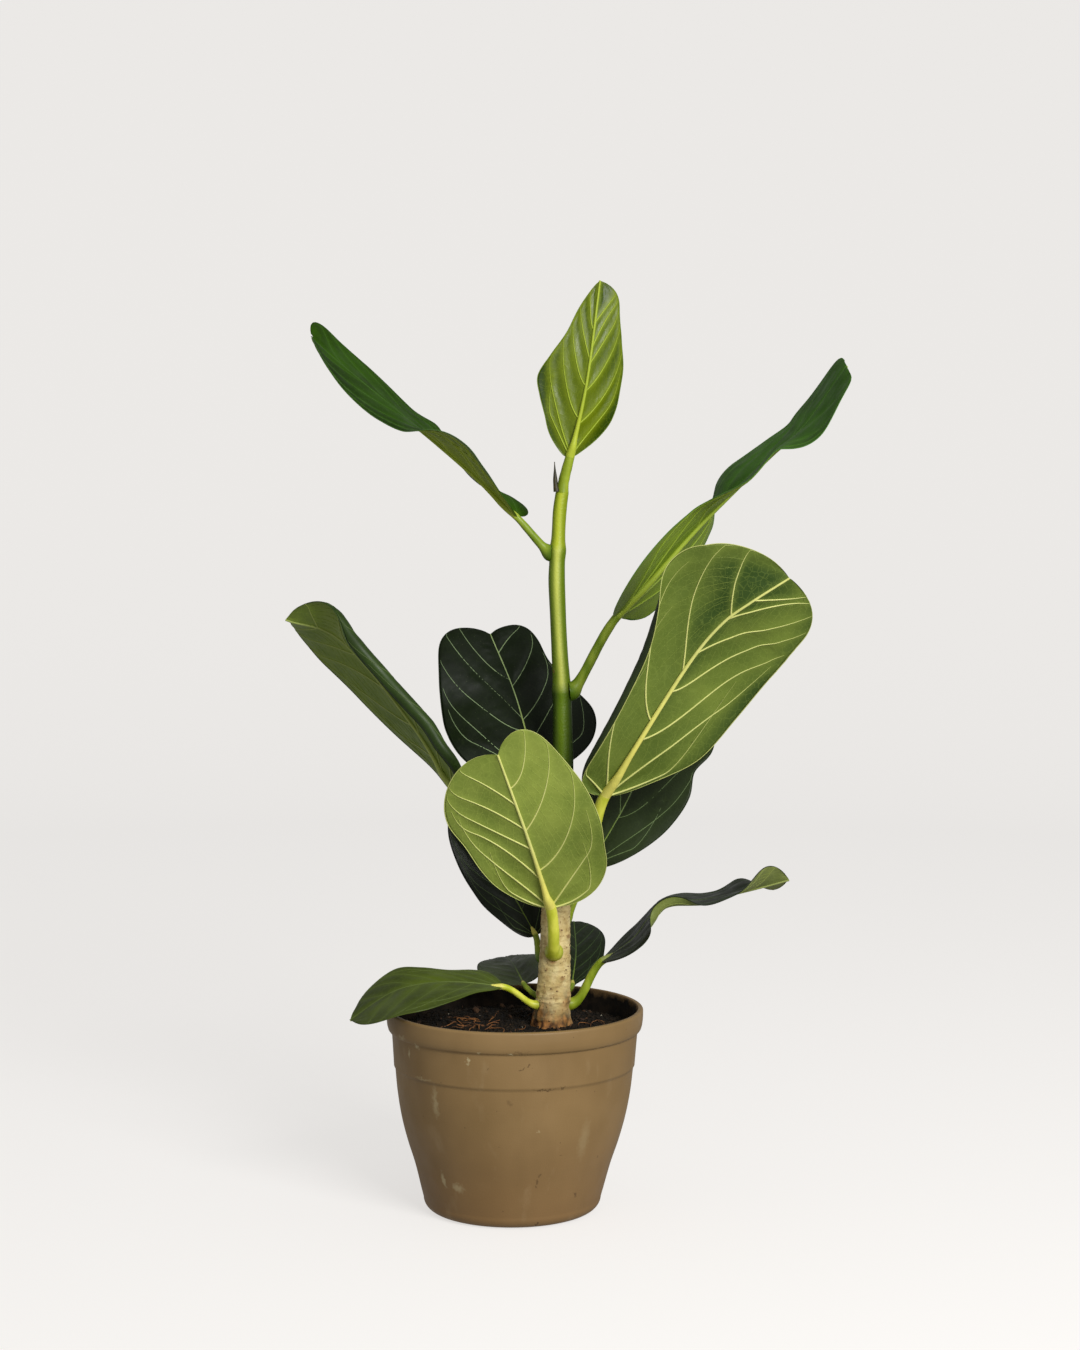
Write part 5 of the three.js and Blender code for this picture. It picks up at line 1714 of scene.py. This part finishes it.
def add_soil():
    """Filling of the pot, with crumbs, bark bits, pale grains and shreds on it."""
    dark_mix = soil_look("dark potting mix", paint(10, 7, 4), paint(26, 19, 11), 260.0)
    crumb_mix = soil_look("potting mix crumbs", paint(10, 8, 4), paint(40, 30, 18), 140.0)
    bark_bits = plain_look("bark bits in the mix", paint(44, 27, 13), paint(86, 56, 28), 120.0, 0.8)
    shred_brown = plain_look("orange brown shreds", paint(88, 52, 24), paint(150, 98, 48), 160.0, 0.8)
    pale_grain = plain_look("pale grains in the mix", paint(120, 112, 92), paint(190, 182, 160), 300.0, 0.9)
    piece(soil_mesh(dark_mix), "soil_body", "potting_mix", "soil")
    looks = {"soil_crumbs": crumb_mix, "soil_bark_bits": bark_bits, "soil_grains": pale_grain}
    for name, sizes in SOIL_BITS.items():
        piece(scatter(tumbled_tree, soil_surface(), *sizes, looks[name]), name, "potting_mix")
    shreds = [line for heap in SOIL_SHREDS for line in shred_lines(*heap)]
    piece(sweep(shreds, SHRED_SIDES, shred_brown), "soil_shreds", "potting_mix")


def add_trunk():
    """Trunk with its lenticels, and the dried sheath at its top."""
    piece(trunk_mesh(trunk_look()), "trunk_body", "bark", "trunk")
    lenticel_brown = plain_look("lenticels", paint(120, 86, 52), paint(168, 134, 92), 260.0, 0.8)
    lenticels = scatter(lying_tree, bark_patch(*LENTICEL_PATCH), *LENTICELS, lenticel_brown)
    piece(lenticels, "trunk_lenticels", "bark")
    sheath_brown = plain_look("dried sheath", paint(34, 32, 12), paint(66, 58, 26), 200.0, 0.55)
    share = np.linspace(0, 1, SHEATH_POINTS)
    sheath_line = (smooth_path(SHEATH_PLACES, share), between(SHEATH_RADII, share, ease=True), 0.0)
    piece(sweep([sheath_line], SHEATH_SIDES, sheath_brown), "dried_bud_sheath", "bud_sheath", "bud_sheath")


def add_leaves():
    """Every blade with its petiole, each in its own greens."""
    yellow_green = stalk_look(
        "yellow green petiole", paint(190, 198, 44), paint(224, 224, 84), paint(164, 170, 44))
    deep_green = stalk_look("green petiole", paint(110, 136, 24), paint(152, 170, 52), paint(80, 110, 14))
    fresh_green = stalk_look(
        "fresh green petiole", paint(122, 142, 24), paint(162, 178, 52), paint(124, 140, 24))
    greens = dict.fromkeys(GREEN_STALKS, deep_green) | dict.fromkeys(YELLOW_STALKS, yellow_green)
    first_seed, seed_step = LEAF_SEEDS
    for number, (name, sizes) in enumerate(LEAVES.items()):
        own = {"veins": LEAF_VEINS.get(name, USUAL_VEINS), "seed": first_seed + seed_step * number}
        add_leaf(name, LEAF_DEFAULTS | sizes | LEAF_LOOKS[name] | own, greens.get(name, fresh_green))


# Studio: a pale round sweep, soft daylight, the photograph's camera


def studio_sweep():
    """Floor that rises into a wall all round, far outside the camera's own path."""
    rise = quarter(SWEEP_RADIUS - SWEEP_ROUND, SWEEP_ROUND, SWEEP_ROUND, -90, 0, SWEEP_ROUND_RINGS)
    profile = np.vstack([SWEEP_FLOOR, rise, [[SWEEP_RADIUS, SWEEP_TOP]]])
    rings = turned(profile, SWEEP_SIDES) - [0, 0, SWEEP_BELOW]
    index = np.arange(rings.shape[0] * rings.shape[1]).reshape(rings.shape[:2])
    index = np.hstack([index, index[:, :1]])
    places = np.vstack([rings.reshape(-1, 3), [[0, 0, -SWEEP_BELOW]]])
    middle = rings.shape[0] * rings.shape[1]
    closing = [[int(a), int(b), middle] for a, b in zip(index[0, :-1], index[0, 1:])]
    look, _, shader = new_look("pale studio sweep", 1.0)
    shader.inputs["Base Color"].default_value = paint(*SWEEP_COLOUR)
    shader.inputs["Specular IOR Level"].default_value = 0
    shader.inputs["Emission Color"].default_value = paint(*SWEEP_GLOW)
    shader.inputs["Emission Strength"].default_value = 1
    faces = grid_faces(index[:, ::-1]) + closing
    sweep_wall = object_of(mesh_of("studio_sweep", places, faces, [look]))
    sweep_wall.visible_diffuse = False
    sweep_wall.visible_glossy = False
    sweep_wall.visible_shadow = False


def aimed(thing, place, at):
    """Sets a light at a place and turns it towards another."""
    thing.location = place
    away = np.array(place) - np.array(at)
    tilt = math.atan2(math.hypot(away[0], away[1]), away[2])
    thing.rotation_euler = (tilt, 0, math.atan2(away[0], -away[1]))


def studio_light():
    """One large soft light from the front right under a pale sky."""
    key = bpy.data.lights.new("key", "AREA")
    key.energy = KEY_WATTS
    key.size = KEY_SIZE
    made = bpy.data.objects.new("key", key)
    bpy.context.scene.collection.objects.link(made)
    aimed(made, KEY_PLACE, KEY_AIM)
    world = bpy.data.worlds.new("soft sky")
    world.use_nodes = True
    sky = world.node_tree.nodes["Background"]
    sky.inputs["Color"].default_value = (1, 1, 1, 1)
    sky.inputs["Strength"].default_value = SKY_STRENGTH
    bpy.context.scene.world = world


def photo_camera():
    """Camera where the photograph was taken from."""
    data = bpy.data.cameras.new("photo camera")
    data.lens = CAMERA_LENS
    data.sensor_width = CAMERA_SENSOR
    data.clip_end = CAMERA_FAR
    made = bpy.data.objects.new("photo_camera", data)
    made.location = CAMERA_PLACE
    made.rotation_euler = (math.radians(CAMERA_PITCH), 0, 0)
    bpy.context.scene.collection.objects.link(made)
    bpy.context.scene.camera = made


add_pot()
add_soil()
add_trunk()
add_leaves()
studio_sweep()
studio_light()
photo_camera()
bpy.context.scene.view_settings.view_transform = "Standard"
